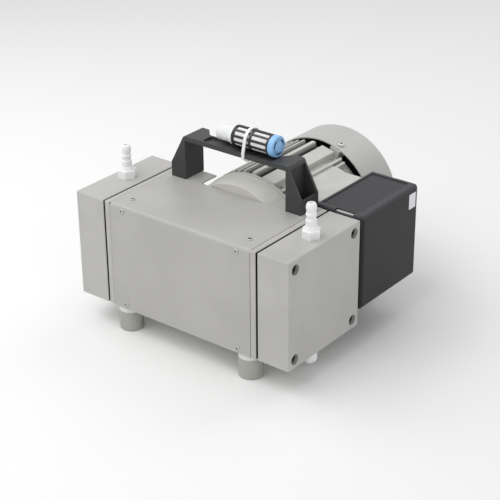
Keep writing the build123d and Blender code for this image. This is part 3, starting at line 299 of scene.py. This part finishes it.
def radial_mask(finish, middle, flat, start, end):
    """Factor that rises from 0 to 1 between two distances from an axis through a point."""
    nodes, links = finish.node_tree.nodes, finish.node_tree.links
    place = nodes.new("ShaderNodeTexCoord")
    shift = nodes.new("ShaderNodeVectorMath")
    shift.operation = "SUBTRACT"
    shift.inputs[1].default_value = middle
    flatten = nodes.new("ShaderNodeVectorMath")
    flatten.operation = "MULTIPLY"
    flatten.inputs[1].default_value = flat
    reach = nodes.new("ShaderNodeVectorMath")
    reach.operation = "LENGTH"
    ramp = nodes.new("ShaderNodeMapRange")
    ramp.inputs["From Min"].default_value = start
    ramp.inputs["From Max"].default_value = end
    links.new(place.outputs["Object"], shift.inputs[0])
    links.new(shift.outputs["Vector"], flatten.inputs[0])
    links.new(flatten.outputs["Vector"], reach.inputs[0])
    links.new(reach.outputs["Value"], ramp.inputs["Value"])
    return ramp.outputs["Result"]


def both(finish, first, second):
    """Factor that is high only where both factors are."""
    nodes, links = finish.node_tree.nodes, finish.node_tree.links
    product = nodes.new("ShaderNodeMath")
    product.operation = "MULTIPLY"
    links.new(first, product.inputs[0])
    links.new(second, product.inputs[1])
    return product.outputs["Value"]


def lay_over(finish, factor, color):
    """Blend the base colour towards a second colour by a factor."""
    nodes, links = finish.node_tree.nodes, finish.node_tree.links
    base = nodes["Principled BSDF"].inputs["Base Color"]
    under = base.links[0].from_socket
    blend = nodes.new("ShaderNodeMix")
    blend.data_type = "RGBA"
    links.new(factor, blend.inputs["Factor"])
    links.new(under, blend.inputs[6])
    blend.inputs[7].default_value = color
    links.new(blend.outputs[2], base)


def paint_seam_shade(finish, low, high, color):
    """Paint shade on the surface between two distances from the middle plane of the machine."""
    inner = radial_mask(finish, (0, 0, 0), (1, 0, 0), low - 0.0001, low)
    outer = radial_mask(finish, (0, 0, 0), (1, 0, 0), high + 0.0001, high)
    lay_over(finish, both(finish, inner, outer), color)


print("masks ready")

# %% Dressing
dressed = set()


def dress(finish, *names):
    """Give a finish to nodes of the frame."""
    dressed.update(names)
    for name in names:
        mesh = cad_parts[name].data
        mesh.materials.clear()
        mesh.materials.append(finish)


print("dressing ready")

# %% [markdown]
# ## Painted metal
# The cover, heads and end plates are powder coated in one warm light grey. Powder leaves a
# slightly wavy skin, like orange peel, with waves about a millimetre long and a few microns
# high. The motor is sprayed over a raw die casting, so its skin is coarser and duller. The seams
# by the heads, and the roots of the motor's fins on one side, are darkened as painted shade.

# %% Painted metal
cover_coat = textured("cover_coat", linear(182, 181, 177), 0.42, 18.0, 900.0, 0.00006)
head_coat = textured("head_coat", linear(187, 186, 183), 0.44, 22.0, 900.0, 0.00007)
case_coat = textured("case_coat", linear(210, 209, 202), 0.5, 30.0, 700.0, 0.0001)
motor_coat = textured("motor_coat", linear(203, 203, 198), 0.46, 40.0, 500.0, 0.00014, swing=0.06)
cowl_coat = textured("cowl_coat", linear(190, 190, 188), 0.38, 14.0, 700.0, 0.00005)
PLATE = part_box("end_plate_right")
HEAD_INNER_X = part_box("head_block_right")[0].x
SEAM_EDGE = 0.0001
COVER_SEAM = 0.0003
# Painted shade: a dark band on the faces in the gap between each head and its end plate, and a
# grey one on the end plate's edge next to the cover.
paint_seam_shade(head_coat, PLATE[1].x - SEAM_EDGE, HEAD_INNER_X + SEAM_EDGE, linear(34, 34, 34))
paint_seam_shade(head_coat, PLATE[0].x - SEAM_EDGE, PLATE[0].x + COVER_SEAM, linear(70, 70, 70))
dress(cover_coat, "front_cover")
dress(head_coat, "head_block_left", "head_block_right", "end_plate_left", "end_plate_right")
dress(case_coat, "crankcase")
fin_coat = textured("fin_coat", linear(203, 203, 198), 0.46, 40.0, 500.0, 0.00014, swing=0.06)
AXIS_Z = 0.0855
FIN_TIP_R = 0.0698
FIN_ROOT_R = 0.0638
# Painted shade: the fins' roots are darkened towards a near-black grey, as if in shadow, only
# where x is below 12 mm; the fins beyond are left plain.
root_shade = radial_mask(fin_coat, (0, 0, AXIS_Z), (1, 0, 1), FIN_TIP_R, FIN_ROOT_R)
SHADE_END_X = 0.012
SHADE_FULL_X = 0.004
shade_side = mask(fin_coat, "X", SHADE_END_X, SHADE_FULL_X)
lay_over(fin_coat, both(fin_coat, root_shade, shade_side), linear(46, 45, 44))
dress(motor_coat, "motor_flange", "rear_shield")
dress(fin_coat, "motor_frame")
dress(cowl_coat, "fan_cowl")
print("painted nodes dressed")

# %% [markdown]
# ## Black plastic
# The handle and the terminal box are glass-filled nylon from a spark-eroded mould: charcoal
# rather than black, with a fine leathery grain that breaks up the highlights. The lid's rounded
# edge and rim carry a painted highlight, a lighter band than its sides, and the panel sunk into
# its top is mottled.

# %% Black plastic
grained_nylon = textured("grained_nylon", linear(60, 60, 61), 0.5, 30.0, 1600.0, 0.00008)
box_nylon = textured("box_nylon", linear(31, 31, 34), 0.45, 25.0, 1300.0, 0.00005)
box_nylon.node_tree.nodes["Principled BSDF"].inputs["Specular IOR Level"].default_value = 0.3
LID_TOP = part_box("terminal_box_lid")[1].z
HIGHLIGHT_STARTS_Z = LID_TOP - 0.0046
HIGHLIGHT_FULL_Z = LID_TOP - 0.0022
# Painted highlight: a lighter band along the lid's rounded top edge and rim.
lay_over(box_nylon, mask(box_nylon, "Z", HIGHLIGHT_STARTS_Z, HIGHLIGHT_FULL_Z), linear(64, 63, 68))
blotches = noise(box_nylon, 330.0, 3.0).outputs["Fac"]
PANEL_Z = LID_TOP - 0.0008
on_panel = mask(box_nylon, "Z", PANEL_Z - 0.0004, PANEL_Z - 0.0002)
off_rim = mask(box_nylon, "Z", PANEL_Z + 0.0004, PANEL_Z + 0.0002)
panel = both(box_nylon, both(box_nylon, on_panel, off_rim), blotches)
lay_over(box_nylon, panel, linear(30, 30, 31))
smooth_black = textured("smooth_black", linear(38, 38, 39), 0.35, 40.0, 900.0, 0.00002)
dress(grained_nylon, "handle")
dress(box_nylon, "terminal_box_lid", "terminal_box")
dress(smooth_black, "silencer_cage", "switch_housing", "switch_rocker", "power_inlet",
      "cooling_fan", "run_capacitor")
print("plastic nodes dressed")

# %% [markdown]
# ## White fluoropolymer, felt, rubber and the blue cap
# Everything that touches the pumped gas is white fluoropolymer. It is waxy: light goes in a
# millimetre or two and comes out again, which subsurface scattering gives. The silencer's felt
# is matt and fibrous, and the feet are a grey rubber with a dusty bloom.

# %% Soft and waxy finishes
def waxy(name, color, roughness, depth):
    """Translucent plastic: a smooth skin over scattered light."""
    finish = textured(name, color, roughness, 60.0, 700.0, 0.00002, swing=0.02)
    shader = finish.node_tree.nodes["Principled BSDF"]
    shader.inputs["Subsurface Weight"].default_value = 0.3
    shader.inputs["Subsurface Radius"].default_value = (1.0, 0.95, 0.9)
    shader.inputs["Subsurface Scale"].default_value = depth
    return finish


fluoropolymer = waxy("fluoropolymer", linear(252, 253, 255), 0.33, 0.003)
tie_nylon = waxy("tie_nylon", linear(249, 249, 247), 0.4, 0.0015)
cap_blue = textured("cap_blue", linear(150, 203, 255), 0.36, 90.0, 800.0, 0.00003)
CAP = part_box("silencer_cap")
CAP_MIDDLE = (CAP[0] + CAP[1]) / 2
# Painted shade: the cap's slots near its outer end are darkened to a deep blue, as if in shadow.
slot_shade = both(cap_blue, mask(cap_blue, "X", CAP[1].x - 0.0004, CAP[1].x - 0.0008),
                radial_mask(cap_blue, CAP_MIDDLE, (0, 1, 1), 0.0096, 0.0091))
lay_over(cap_blue, slot_shade, linear(28, 44, 96))
felt_white = textured("felt_white", linear(250, 250, 247), 0.95, 200.0, 2600.0, 0.0005, swing=0.06)
foot_rubber = textured("foot_rubber", linear(172, 172, 166), 0.5, 60.0, 1500.0, 0.00006)
valve_rubber = textured("valve_rubber", linear(40, 40, 41), 0.7, 60.0, 1500.0, 0.00004)
dress(fluoropolymer, "nozzle_left", "nozzle_right", "elbow_left", "elbow_right",
      "connecting_tube", "head_insert_left", "head_insert_right", "clamping_disc_left",
      "clamping_disc_right", "silencer_nipple")
dress(tie_nylon, "cable_tie")
dress(cap_blue, "silencer_cap")
dress(felt_white, "silencer_felt")
dress(foot_rubber, "rubber_feet")
dress(valve_rubber, "diaphragm_left", "diaphragm_right", "inlet_valve_left",
      "inlet_valve_right", "outlet_valve_left", "outlet_valve_right")
print("polymer nodes dressed")

# %% [markdown]
# ## Bare metal
# Inside the pump the metals are bare. Ground steel is the smoothest and has the finest grain, cast
# rods are duller and coarser, and the laminated iron of the motor is dark.

# %% Bare metal
zinc = textured("zinc_plate", linear(196, 196, 192), 0.3, 300.0, 1800.0, 0.00002, 1.0)
dark_steel = textured("dark_steel", linear(96, 95, 94), 0.38, 200.0, 1800.0, 0.00002, 1.0)
ground_steel = textured("ground_steel", linear(176, 177, 180), 0.25, 120.0, 2400.0, 0.00001, 1.0)
cast_metal = textured("cast_metal", linear(190, 190, 188), 0.5, 80.0, 900.0, 0.0001, 1.0)
core_iron = textured("core_iron", linear(90, 90, 94), 0.5, 60.0, 1800.0, 0.00005, 0.8)
copper = textured("varnished_copper", linear(176, 92, 48), 0.35, 120.0, 1500.0, 0.0002, 0.7)
clip_tin = textured("clip_tin", linear(226, 226, 223), 0.4, 200.0, 1500.0, 0.00002, 0.2)
dress(clip_tin, "lid_clip", "foot_spacers")
dress(zinc, "cover_screws", "cowl_screws", "lid_screws")
dress(dark_steel, "head_screws", "handle_screws")
dress(ground_steel, "motor_shaft", "eccentric", "counterweight", "bearing_inner_rings",
      "bearing_outer_rings", "rod_bearing_left", "rod_bearing_right")
dress(cast_metal, "rod_left", "rod_right", "support_disc_left", "support_disc_right")
dress(core_iron, "stator_core", "rotor_core")
dress(copper, "stator_windings")
print("nodes with no finish:", sorted(set(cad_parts) - dressed))

# %% [markdown]
# ## Shaping by hand
# The pieces below are small, so each starts as a primitive at its size, is shaped in edit mode
# and is finished with modifiers that are applied at once. What repeats is modelled once on the
# origin, and each copy gets its own mesh, moved to its place. The object itself stays at the
# origin, as the solids of the frame do.

# %% Shaping helpers
def start_clean():
    """Leave nothing selected, because the loaded solids are."""
    if bpy.context.object and bpy.context.object.mode != "OBJECT":
        bpy.ops.object.mode_set(mode="OBJECT")
    bpy.ops.object.select_all(action="DESELECT")


def select_where(piece, kind, test):
    """In edit mode, select only the vertices, edges or faces that pass a test on their centre."""
    bpy.ops.mesh.select_all(action="DESELECT")
    mesh = bmesh.from_edit_mesh(piece.data)
    for element in getattr(mesh, kind):
        spots = [element.co] if kind == "verts" else [v.co for v in element.verts]
        if all(test(spot) for spot in spots):
            element.select_set(True)
    mesh.select_flush(True)
    bmesh.update_edit_mesh(piece.data)


def apply_all(piece):
    """Apply every modifier of the piece in order."""
    bpy.context.view_layer.objects.active = piece
    for modifier in list(piece.modifiers):
        bpy.ops.object.modifier_apply(modifier=modifier.name)


def settle(piece):
    """Put the piece's place, turn and size into its mesh."""
    start_clean()
    piece.select_set(True)
    bpy.context.view_layer.objects.active = piece
    bpy.ops.object.transform_apply(location=True, rotation=True, scale=True)


def stamp(pattern, name, matrix):
    """A copy of a piece with its own mesh, moved by a matrix."""
    copy = pattern.copy()
    copy.data = pattern.data.copy()
    copy.name = name
    copy.data.name = name
    copy.data.transform(matrix)
    copy.data.update()
    scene.collection.objects.link(copy)
    return copy


def place_at(spot, outward):
    """Matrix that carries the origin to a spot and +Z to the outward direction."""
    turn = Vector(outward).to_track_quat("Z", "Y").to_matrix().to_4x4()
    return Matrix.Translation(spot) @ turn


def discard(piece):
    """Remove a pattern once its copies are made."""
    bpy.data.objects.remove(piece, do_unlink=True)


def finish_piece(piece, finish):
    """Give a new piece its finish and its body."""
    piece.data.materials.clear()
    piece.data.materials.append(finish)
    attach(piece, BODY)
    return piece


print("shaping helpers ready")

# %% [markdown]
# ## Screws with a cross recess
# The cover and the cowl are held by pan-head screws. A head is a short cylinder whose top edge
# is rounded by a wide bevel, and its cross is cut by two crossed bars, each subtracted by a
# Boolean modifier. The bars taper in the real recess, but at this size straight walls look alike.

# %% One screw head
def cross_head(name, radius, height):
    """Pan head that stands on the origin with its recess towards +Z."""
    start_clean()
    bpy.ops.mesh.primitive_cylinder_add(vertices=48, radius=radius, depth=height,
                                        location=(0, 0, height / 2))
    head = bpy.context.object
    head.name = name
    settle(head)
    bpy.ops.object.mode_set(mode="EDIT")
    select_where(head, "edges", lambda spot: spot.z > height * 0.9)
    bpy.ops.mesh.bevel(offset=height * 0.55, segments=5)
    bpy.ops.object.mode_set(mode="OBJECT")
    for quarter in range(2):
        start_clean()
        bpy.ops.mesh.primitive_cube_add(size=1.0, location=(0, 0, height))
        bar = bpy.context.object
        bar.scale = (radius * 1.25, radius * 0.3, height * 0.9)
        bar.rotation_euler = (0, 0, quarter * math.pi / 2)
        settle(bar)
        cut = head.modifiers.new("recess", "BOOLEAN")
        cut.operation = "DIFFERENCE"
        cut.solver = "EXACT"
        cut.object = bar
        apply_all(head)
        discard(bar)
    start_clean()
    head.select_set(True)
    bpy.context.view_layer.objects.active = head
    bpy.ops.object.shade_smooth_by_angle(angle=math.radians(35))
    head.data.materials.clear()
    head.data.materials.append(zinc)
    head.data.materials.append(dark_steel)
    # Painted shade: the floor of the cross recess takes the dark steel finish, which stands in for
    # the shade in the recess.
    for polygon in head.data.polygons:
        low = all(head.data.vertices[i].co.z < height * 0.9 for i in polygon.vertices)
        inside = math.hypot(*polygon.center.xy) < radius * 0.7
        if low and inside and polygon.center.z > height * 0.2:
            polygon.material_index = 1
    print(name, "faces:", len(head.data.polygons))
    return head


# %% Cover screws
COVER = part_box("front_cover")
COVER_MIDDLE_Z = (COVER[0].z + COVER[1].z) / 2
SIDE_REACH = 0.072
RISE_REACH = 0.05225
TOP_REACH = 0.0737
TOP_SETBACK = 0.0187
cover_head = cross_head("cover_head", 0.0027, 0.001)
spots = [(Vector((x, COVER[0].y, COVER_MIDDLE_Z + z)), (0, -1, 0))
         for x in (-SIDE_REACH, SIDE_REACH) for z in (-RISE_REACH, RISE_REACH)]
spots += [(Vector((x, COVER[0].y + TOP_SETBACK, COVER[1].z)), (0, 0, 1))
          for x in (-TOP_REACH, TOP_REACH)]
cover_screws = []
for number, (spot, outward) in enumerate(spots, start=1):
    screw = stamp(cover_head, f"cover_screw_{number}", place_at(spot, outward))
    cover_screws.append(screw)
discard(cover_head)
print("cover screws:", len(cover_screws))

# %% Cowl screws
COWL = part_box("fan_cowl")
COWL_RADIUS = (COWL[1].x - COWL[0].x) / 2
COWL_AXIS_Z = (COWL[0].z + COWL[1].z) / 2
COWL_SCREW_SETBACK = 0.008
COWL_SCREW_ANGLE = math.radians(19.5)
cowl_head = cross_head("cowl_head", 0.0037, 0.0024)
cowl_screws = []
for step in range(4):
    angle = COWL_SCREW_ANGLE + step * math.pi / 2
    outward = Vector((math.sin(angle), 0, math.cos(angle)))
    middle = Vector((0, COWL[0].y + COWL_SCREW_SETBACK, COWL_AXIS_Z))
    spot = middle + outward * (COWL_RADIUS - 0.0001)
    cowl_screws.append(stamp(cowl_head, f"cowl_screw_{step + 1}", place_at(spot, outward)))
discard(cowl_head)
print("cowl screws:", len(cowl_screws))

# %% Dress the screws
for screw in cover_screws + cowl_screws:
    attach(screw, BODY)
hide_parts("cover_screws")
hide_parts("cowl_screws")
print("screws replace their plain solids")

# %% [markdown]
# ## The silencer's threaded nipple
# The silencer screws into a pipe with a tapered plastic thread. At this size a thread reads as
# rings a little over a millimetre apart. The piece starts as an open circle round the bore, whose
# rim is extruded along the axis and scaled step by step: out over the collar, then up and down
# for every ring of the thread. The last ring is bridged to the first, which closes the bore.

# %% Grow a turned piece along X
def start_ring(name, x, radius, middle, count):
    """Open circle round an axis along X, left selected in edit mode."""
    start_clean()
    bpy.ops.mesh.primitive_circle_add(vertices=count, radius=radius,
                                      location=(x, middle.y, middle.z),
                                      rotation=(0, math.pi / 2, 0))
    piece = bpy.context.object
    piece.name = name
    settle(piece)
    bpy.ops.object.mode_set(mode="EDIT")
    bpy.ops.mesh.select_all(action="SELECT")
    return piece


def grow_ring(step, ratio, x, middle):
    """Extrude the selected ring along X and scale it about the axis."""
    bpy.ops.mesh.extrude_region_move(TRANSFORM_OT_translate={"value": (step, 0, 0)})
    bpy.ops.transform.resize(value=(1, ratio, ratio), center_override=(x, middle.y, middle.z))


print("turned pieces grow ring by ring")

# %% Threaded nipple
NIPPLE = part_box("silencer_nipple")
NIPPLE_MIDDLE = (NIPPLE[0] + NIPPLE[1]) / 2
COLLAR_R = (NIPPLE[1].z - NIPPLE[0].z) / 2
COLLAR_X = NIPPLE[1].x - 0.0028
CREST_R = 0.0088
ROOT_R = 0.0080
BORE_R = 0.003
PITCH = 0.00135
profile = [(NIPPLE[1].x, COLLAR_R), (COLLAR_X, COLLAR_R)]
x = COLLAR_X - 0.0003
while x > NIPPLE[0].x + 1.6 * PITCH:
    profile += [(x, ROOT_R), (x - 0.35 * PITCH, CREST_R), (x - 0.6 * PITCH, CREST_R)]
    x -= PITCH
profile += [(x, ROOT_R), (NIPPLE[0].x, ROOT_R - 0.0008), (NIPPLE[0].x, BORE_R)]
thread = start_ring("silencer_thread", NIPPLE[1].x, BORE_R, NIPPLE_MIDDLE, 56)
last_x, last_radius = NIPPLE[1].x, BORE_R
for x, radius in profile:
    grow_ring(x - last_x, radius / last_radius, x, NIPPLE_MIDDLE)
    last_x, last_radius = x, radius
bpy.ops.mesh.select_all(action="DESELECT")
bpy.ops.mesh.select_mode(type="EDGE")
bpy.ops.mesh.select_non_manifold()
bpy.ops.mesh.bridge_edge_loops()
bpy.ops.mesh.select_all(action="SELECT")
bpy.ops.mesh.normals_make_consistent(inside=False)
bpy.ops.object.mode_set(mode="OBJECT")
bpy.ops.object.shade_smooth_by_angle(angle=math.radians(28))
finish_piece(thread, fluoropolymer)
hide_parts("silencer_nipple")
print("thread rings:", (len(profile) - 5) // 3, "faces:", len(thread.data.polygons))

# %% [markdown]
# ## Felt that swells between the bars
# The silencer's felt is pressed into its cage, so it stands a little proud in every window and is
# pinched under each bar. The sleeve is a cylinder cut into bands; the faces that show in a window
# are inset together and pushed outwards, and a subdivision surface rounds the swelling.

# %% Felt sleeve
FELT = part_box("silencer_felt")
FELT_MIDDLE = (FELT[0] + FELT[1]) / 2
WINDOWS = 10
WINDOW_SPREAD = math.radians(27)
WINDOW_BANDS = ((-0.0039, 0.01495), (0.01755, 0.0364))
BANDS_PER_WINDOW = 6
SLEEVE_R = 0.0088
SWELL = 0.0011
PINCH = 0.0005
END_GAP = 0.0002


def in_window(spot):
    """Whether a point of the sleeve shows through one of the cage's windows."""
    angle = math.atan2(spot.z - FELT_MIDDLE.z, spot.y - FELT_MIDDLE.y)
    spacing = 2 * math.pi / WINDOWS
    off_middle = abs((angle + spacing / 2) % spacing - spacing / 2)
    shows = any(low - 0.0001 < spot.x < high + 0.0001 for low, high in WINDOW_BANDS)
    outside = math.hypot(spot.y - FELT_MIDDLE.y, spot.z - FELT_MIDDLE.z) > 0.5 * SLEEVE_R
    return shows and outside and off_middle < WINDOW_SPREAD / 2 + 0.01


start_clean()
bpy.ops.mesh.primitive_cylinder_add(vertices=8 * WINDOWS, radius=SLEEVE_R,
                                    depth=FELT[1].x - FELT[0].x - 2 * END_GAP,
                                    location=FELT_MIDDLE, rotation=(0, math.pi / 2, 0))
felt = bpy.context.object
felt.name = "silencer_felt_sleeve"
settle(felt)
bpy.ops.object.mode_set(mode="EDIT")
for low, high in WINDOW_BANDS:
    for step in range(BANDS_PER_WINDOW + 1):
        cut_x = low + (high - low) * step / BANDS_PER_WINDOW
        bpy.ops.mesh.select_all(action="SELECT")
        bpy.ops.mesh.bisect(plane_co=(cut_x, 0, 0), plane_no=(1, 0, 0))
bpy.ops.mesh.select_mode(type="FACE")
select_where(felt, "faces", in_window)
bpy.ops.mesh.inset(thickness=PINCH)
bpy.ops.transform.shrink_fatten(value=SWELL)
bpy.ops.object.mode_set(mode="OBJECT")
swelling = felt.modifiers.new("swelling", "SUBSURF")
swelling.levels = 1
apply_all(felt)
bpy.ops.object.shade_smooth_by_angle(angle=math.radians(60))
finish_piece(felt, felt_white)
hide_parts("silencer_felt")
print("felt faces:", len(felt.data.polygons))

# %% [markdown]
# ## The cable tie
# A narrow nylon tie straps the silencer to the grip bar. The strap starts as an open tube round
# the silencer. Its lower part is deleted, the two open ends are extruded down past the bar and
# across below it, and the strip is given its thickness. The lock is a small block whose lower
# face is inset and pushed in where the tail passes, and the cut tail stands out below it.

# %% Strap
SILENCER_Y, SILENCER_Z, SILENCER_R = -0.039, 0.20132, 0.011
BAR_FRONT, BAR_BACK = -0.053, -0.035
BAR_TOP, BAR_BOTTOM = 0.1905, 0.1855
TIE_X = 0.0119
TIE_WIDTH = 0.0036
TIE_THICKNESS = 0.0011
SLACK = 0.0002
LEAVES_FRONT_Z = SILENCER_Z + 0.0026
LEAVES_BACK_Z = SILENCER_Z - 0.0053
SAME_SPOT = 0.00005


def pull_end(delta):
    """Extrude the selected open end of the strap."""
    bpy.ops.mesh.extrude_region_move(TRANSFORM_OT_translate={"value": delta})


start_clean()
bpy.ops.mesh.primitive_cylinder_add(vertices=72, radius=SILENCER_R + SLACK, depth=TIE_WIDTH,
                                    end_fill_type="NOTHING",
                                    location=(TIE_X, SILENCER_Y, SILENCER_Z),
                                    rotation=(0, math.pi / 2, 0))
strap = bpy.context.object
strap.name = "cable_tie_strap"
settle(strap)
bpy.ops.object.mode_set(mode="EDIT")
bpy.ops.mesh.select_mode(type="VERT")
select_where(strap, "verts", lambda spot: spot.z < LEAVES_BACK_Z
             or (spot.z < LEAVES_FRONT_Z and spot.y < SILENCER_Y))
bpy.ops.mesh.delete(type="VERT")
cut = bmesh.from_edit_mesh(strap.data)
front_end = min((v.co for v in cut.verts if v.co.y < SILENCER_Y), key=lambda spot: spot.z).copy()
back_end = min((v.co for v in cut.verts if v.co.y > SILENCER_Y), key=lambda spot: spot.z).copy()
select_where(strap, "verts", lambda spot: (spot.yz - front_end.yz).length < SAME_SPOT)
pull_end((0, BAR_FRONT - SLACK - front_end.y, BAR_TOP - front_end.z))
pull_end((0, 0, BAR_BOTTOM - SLACK - BAR_TOP))
pull_end((0, BAR_BACK + SLACK - BAR_FRONT + SLACK, 0))
pull_end((0, back_end.y - BAR_BACK - SLACK, back_end.z - BAR_BOTTOM + SLACK))
bpy.ops.mesh.select_all(action="SELECT")
bpy.ops.mesh.remove_doubles(threshold=SAME_SPOT)
bpy.ops.mesh.normals_make_consistent(inside=False)
bpy.ops.object.mode_set(mode="OBJECT")
body = strap.modifiers.new("thickness", "SOLIDIFY")
body.thickness = TIE_THICKNESS
body.offset = 1.0
rounding = strap.modifiers.new("rounding", "BEVEL")
rounding.width = 0.00035
rounding.segments = 3
rounding.limit_method = "ANGLE"
rounding.angle_limit = math.radians(40)
apply_all(strap)
bpy.ops.object.shade_smooth_by_angle(angle=math.radians(40))
finish_piece(strap, tie_nylon)
print("strap faces:", len(strap.data.polygons))

# %% Lock and tail
LOCK_Y = BAR_FRONT + 0.0065
LOCK_TOP = BAR_BOTTOM - SLACK - TIE_THICKNESS + 0.0003
LOCK_SIZE = (TIE_WIDTH + 0.0018, 0.0055, 0.0034)
MOUTH_DEPTH = 0.0012
TAIL_LENGTH = 0.0024
start_clean()
bpy.ops.mesh.primitive_cube_add(size=1.0, location=(TIE_X, LOCK_Y, LOCK_TOP - LOCK_SIZE[2] / 2))
lock = bpy.context.object
lock.name = "cable_tie_lock"
lock.scale = LOCK_SIZE
settle(lock)
bpy.ops.object.mode_set(mode="EDIT")
bpy.ops.mesh.select_mode(type="FACE")
select_where(lock, "faces", lambda spot: spot.z < LOCK_TOP - LOCK_SIZE[2] * 0.9)
bpy.ops.mesh.inset(thickness=0.0009)
bpy.ops.mesh.extrude_region_move(TRANSFORM_OT_translate={"value": (0, 0, MOUTH_DEPTH)})
bpy.ops.mesh.inset(thickness=0.0006)
bpy.ops.mesh.extrude_region_move(TRANSFORM_OT_translate={"value": (0, 0, -TAIL_LENGTH)})
bpy.ops.object.mode_set(mode="OBJECT")
rounding = lock.modifiers.new("rounding", "BEVEL")
rounding.width = 0.0002
rounding.segments = 3
rounding.limit_method = "ANGLE"
apply_all(lock)
bpy.ops.object.shade_smooth_by_angle(angle=math.radians(40))
finish_piece(lock, tie_nylon)
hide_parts("cable_tie")
print("lock faces:", len(lock.data.polygons))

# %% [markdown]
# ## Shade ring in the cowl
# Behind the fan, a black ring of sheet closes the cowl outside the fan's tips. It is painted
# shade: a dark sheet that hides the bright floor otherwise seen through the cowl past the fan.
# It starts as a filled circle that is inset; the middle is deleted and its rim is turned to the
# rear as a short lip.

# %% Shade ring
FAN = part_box("cooling_fan")
REAR_WALL = COWL[1].y - 0.002
SHADE_RING_Y = (FAN[1].y + REAR_WALL) / 2
SHADE_RING_OUTER_R = COWL_RADIUS - 0.0016
SHADE_RING_INNER_R = 0.05
start_clean()
bpy.ops.mesh.primitive_circle_add(vertices=96, radius=SHADE_RING_OUTER_R, fill_type="NGON",
                                  location=(0, SHADE_RING_Y, COWL_AXIS_Z),
                                  rotation=(math.pi / 2, 0, 0))
shade_ring = bpy.context.object
shade_ring.name = "cowl_shade_ring"
settle(shade_ring)
bpy.ops.object.mode_set(mode="EDIT")
bpy.ops.mesh.select_all(action="SELECT")
bpy.ops.mesh.inset(thickness=SHADE_RING_OUTER_R - SHADE_RING_INNER_R)
bpy.ops.mesh.delete(type="ONLY_FACE")
select_where(shade_ring, "verts", lambda spot: math.hypot(spot.x, spot.z - COWL_AXIS_Z)
             < SHADE_RING_INNER_R + 0.001)
bpy.ops.mesh.extrude_region_move(TRANSFORM_OT_translate={"value": (0, 0.0015, 0)})
bpy.ops.object.mode_set(mode="OBJECT")
sheet = shade_ring.modifiers.new("sheet", "SOLIDIFY")
sheet.thickness = 0.0008
apply_all(shade_ring)
bpy.ops.object.shade_smooth_by_angle(angle=math.radians(35))
finish_piece(shade_ring, smooth_black)
# Painted shade: the ring printed here is the dark sheet that stands in for shade in the cowl.
print("air guide ring at y", round(SHADE_RING_Y, 4), "behind the fan's", round(FAN[1].y, 4))

# %% [markdown]
# ## The plain sticker
# A small blank sticker sits on the right face of the terminal box. It is a sheet with rounded
# corners, made by bevelling the corners of a plane and giving it the thickness of vinyl.

# %% Sticker
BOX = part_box("terminal_box_lid")
STICKER_WIDTH = 0.012
STICKER_HEIGHT = 0.0165
STICKER_BACK_GAP = 0.0056
STICKER_TOP_GAP = 0.0063
start_clean()
bpy.ops.mesh.primitive_plane_add(
    size=1.0,
    location=(BOX[1].x, BOX[1].y - STICKER_BACK_GAP - STICKER_WIDTH / 2,
              BOX[1].z - STICKER_TOP_GAP - STICKER_HEIGHT / 2),
    rotation=(0, math.pi / 2, 0),
)
sticker = bpy.context.object
sticker.name = "blank_sticker"
sticker.scale = (STICKER_HEIGHT, STICKER_WIDTH, 1.0)
settle(sticker)
bpy.ops.object.mode_set(mode="EDIT")
bpy.ops.mesh.select_all(action="SELECT")
bpy.ops.mesh.bevel(offset=0.0009, segments=4, affect="VERTICES")
bpy.ops.object.mode_set(mode="OBJECT")
skin = sticker.modifiers.new("vinyl", "SOLIDIFY")
skin.thickness = 0.00006
skin.offset = 1.0
apply_all(sticker)
sticker_paper = textured("sticker_paper", linear(238, 239, 242), 0.45, 120.0, 1200.0, 0.00001,
                         swing=0.02)
finish_piece(sticker, sticker_paper)
print("sticker", STICKER_WIDTH, "x", STICKER_HEIGHT, "faces:", len(sticker.data.polygons))
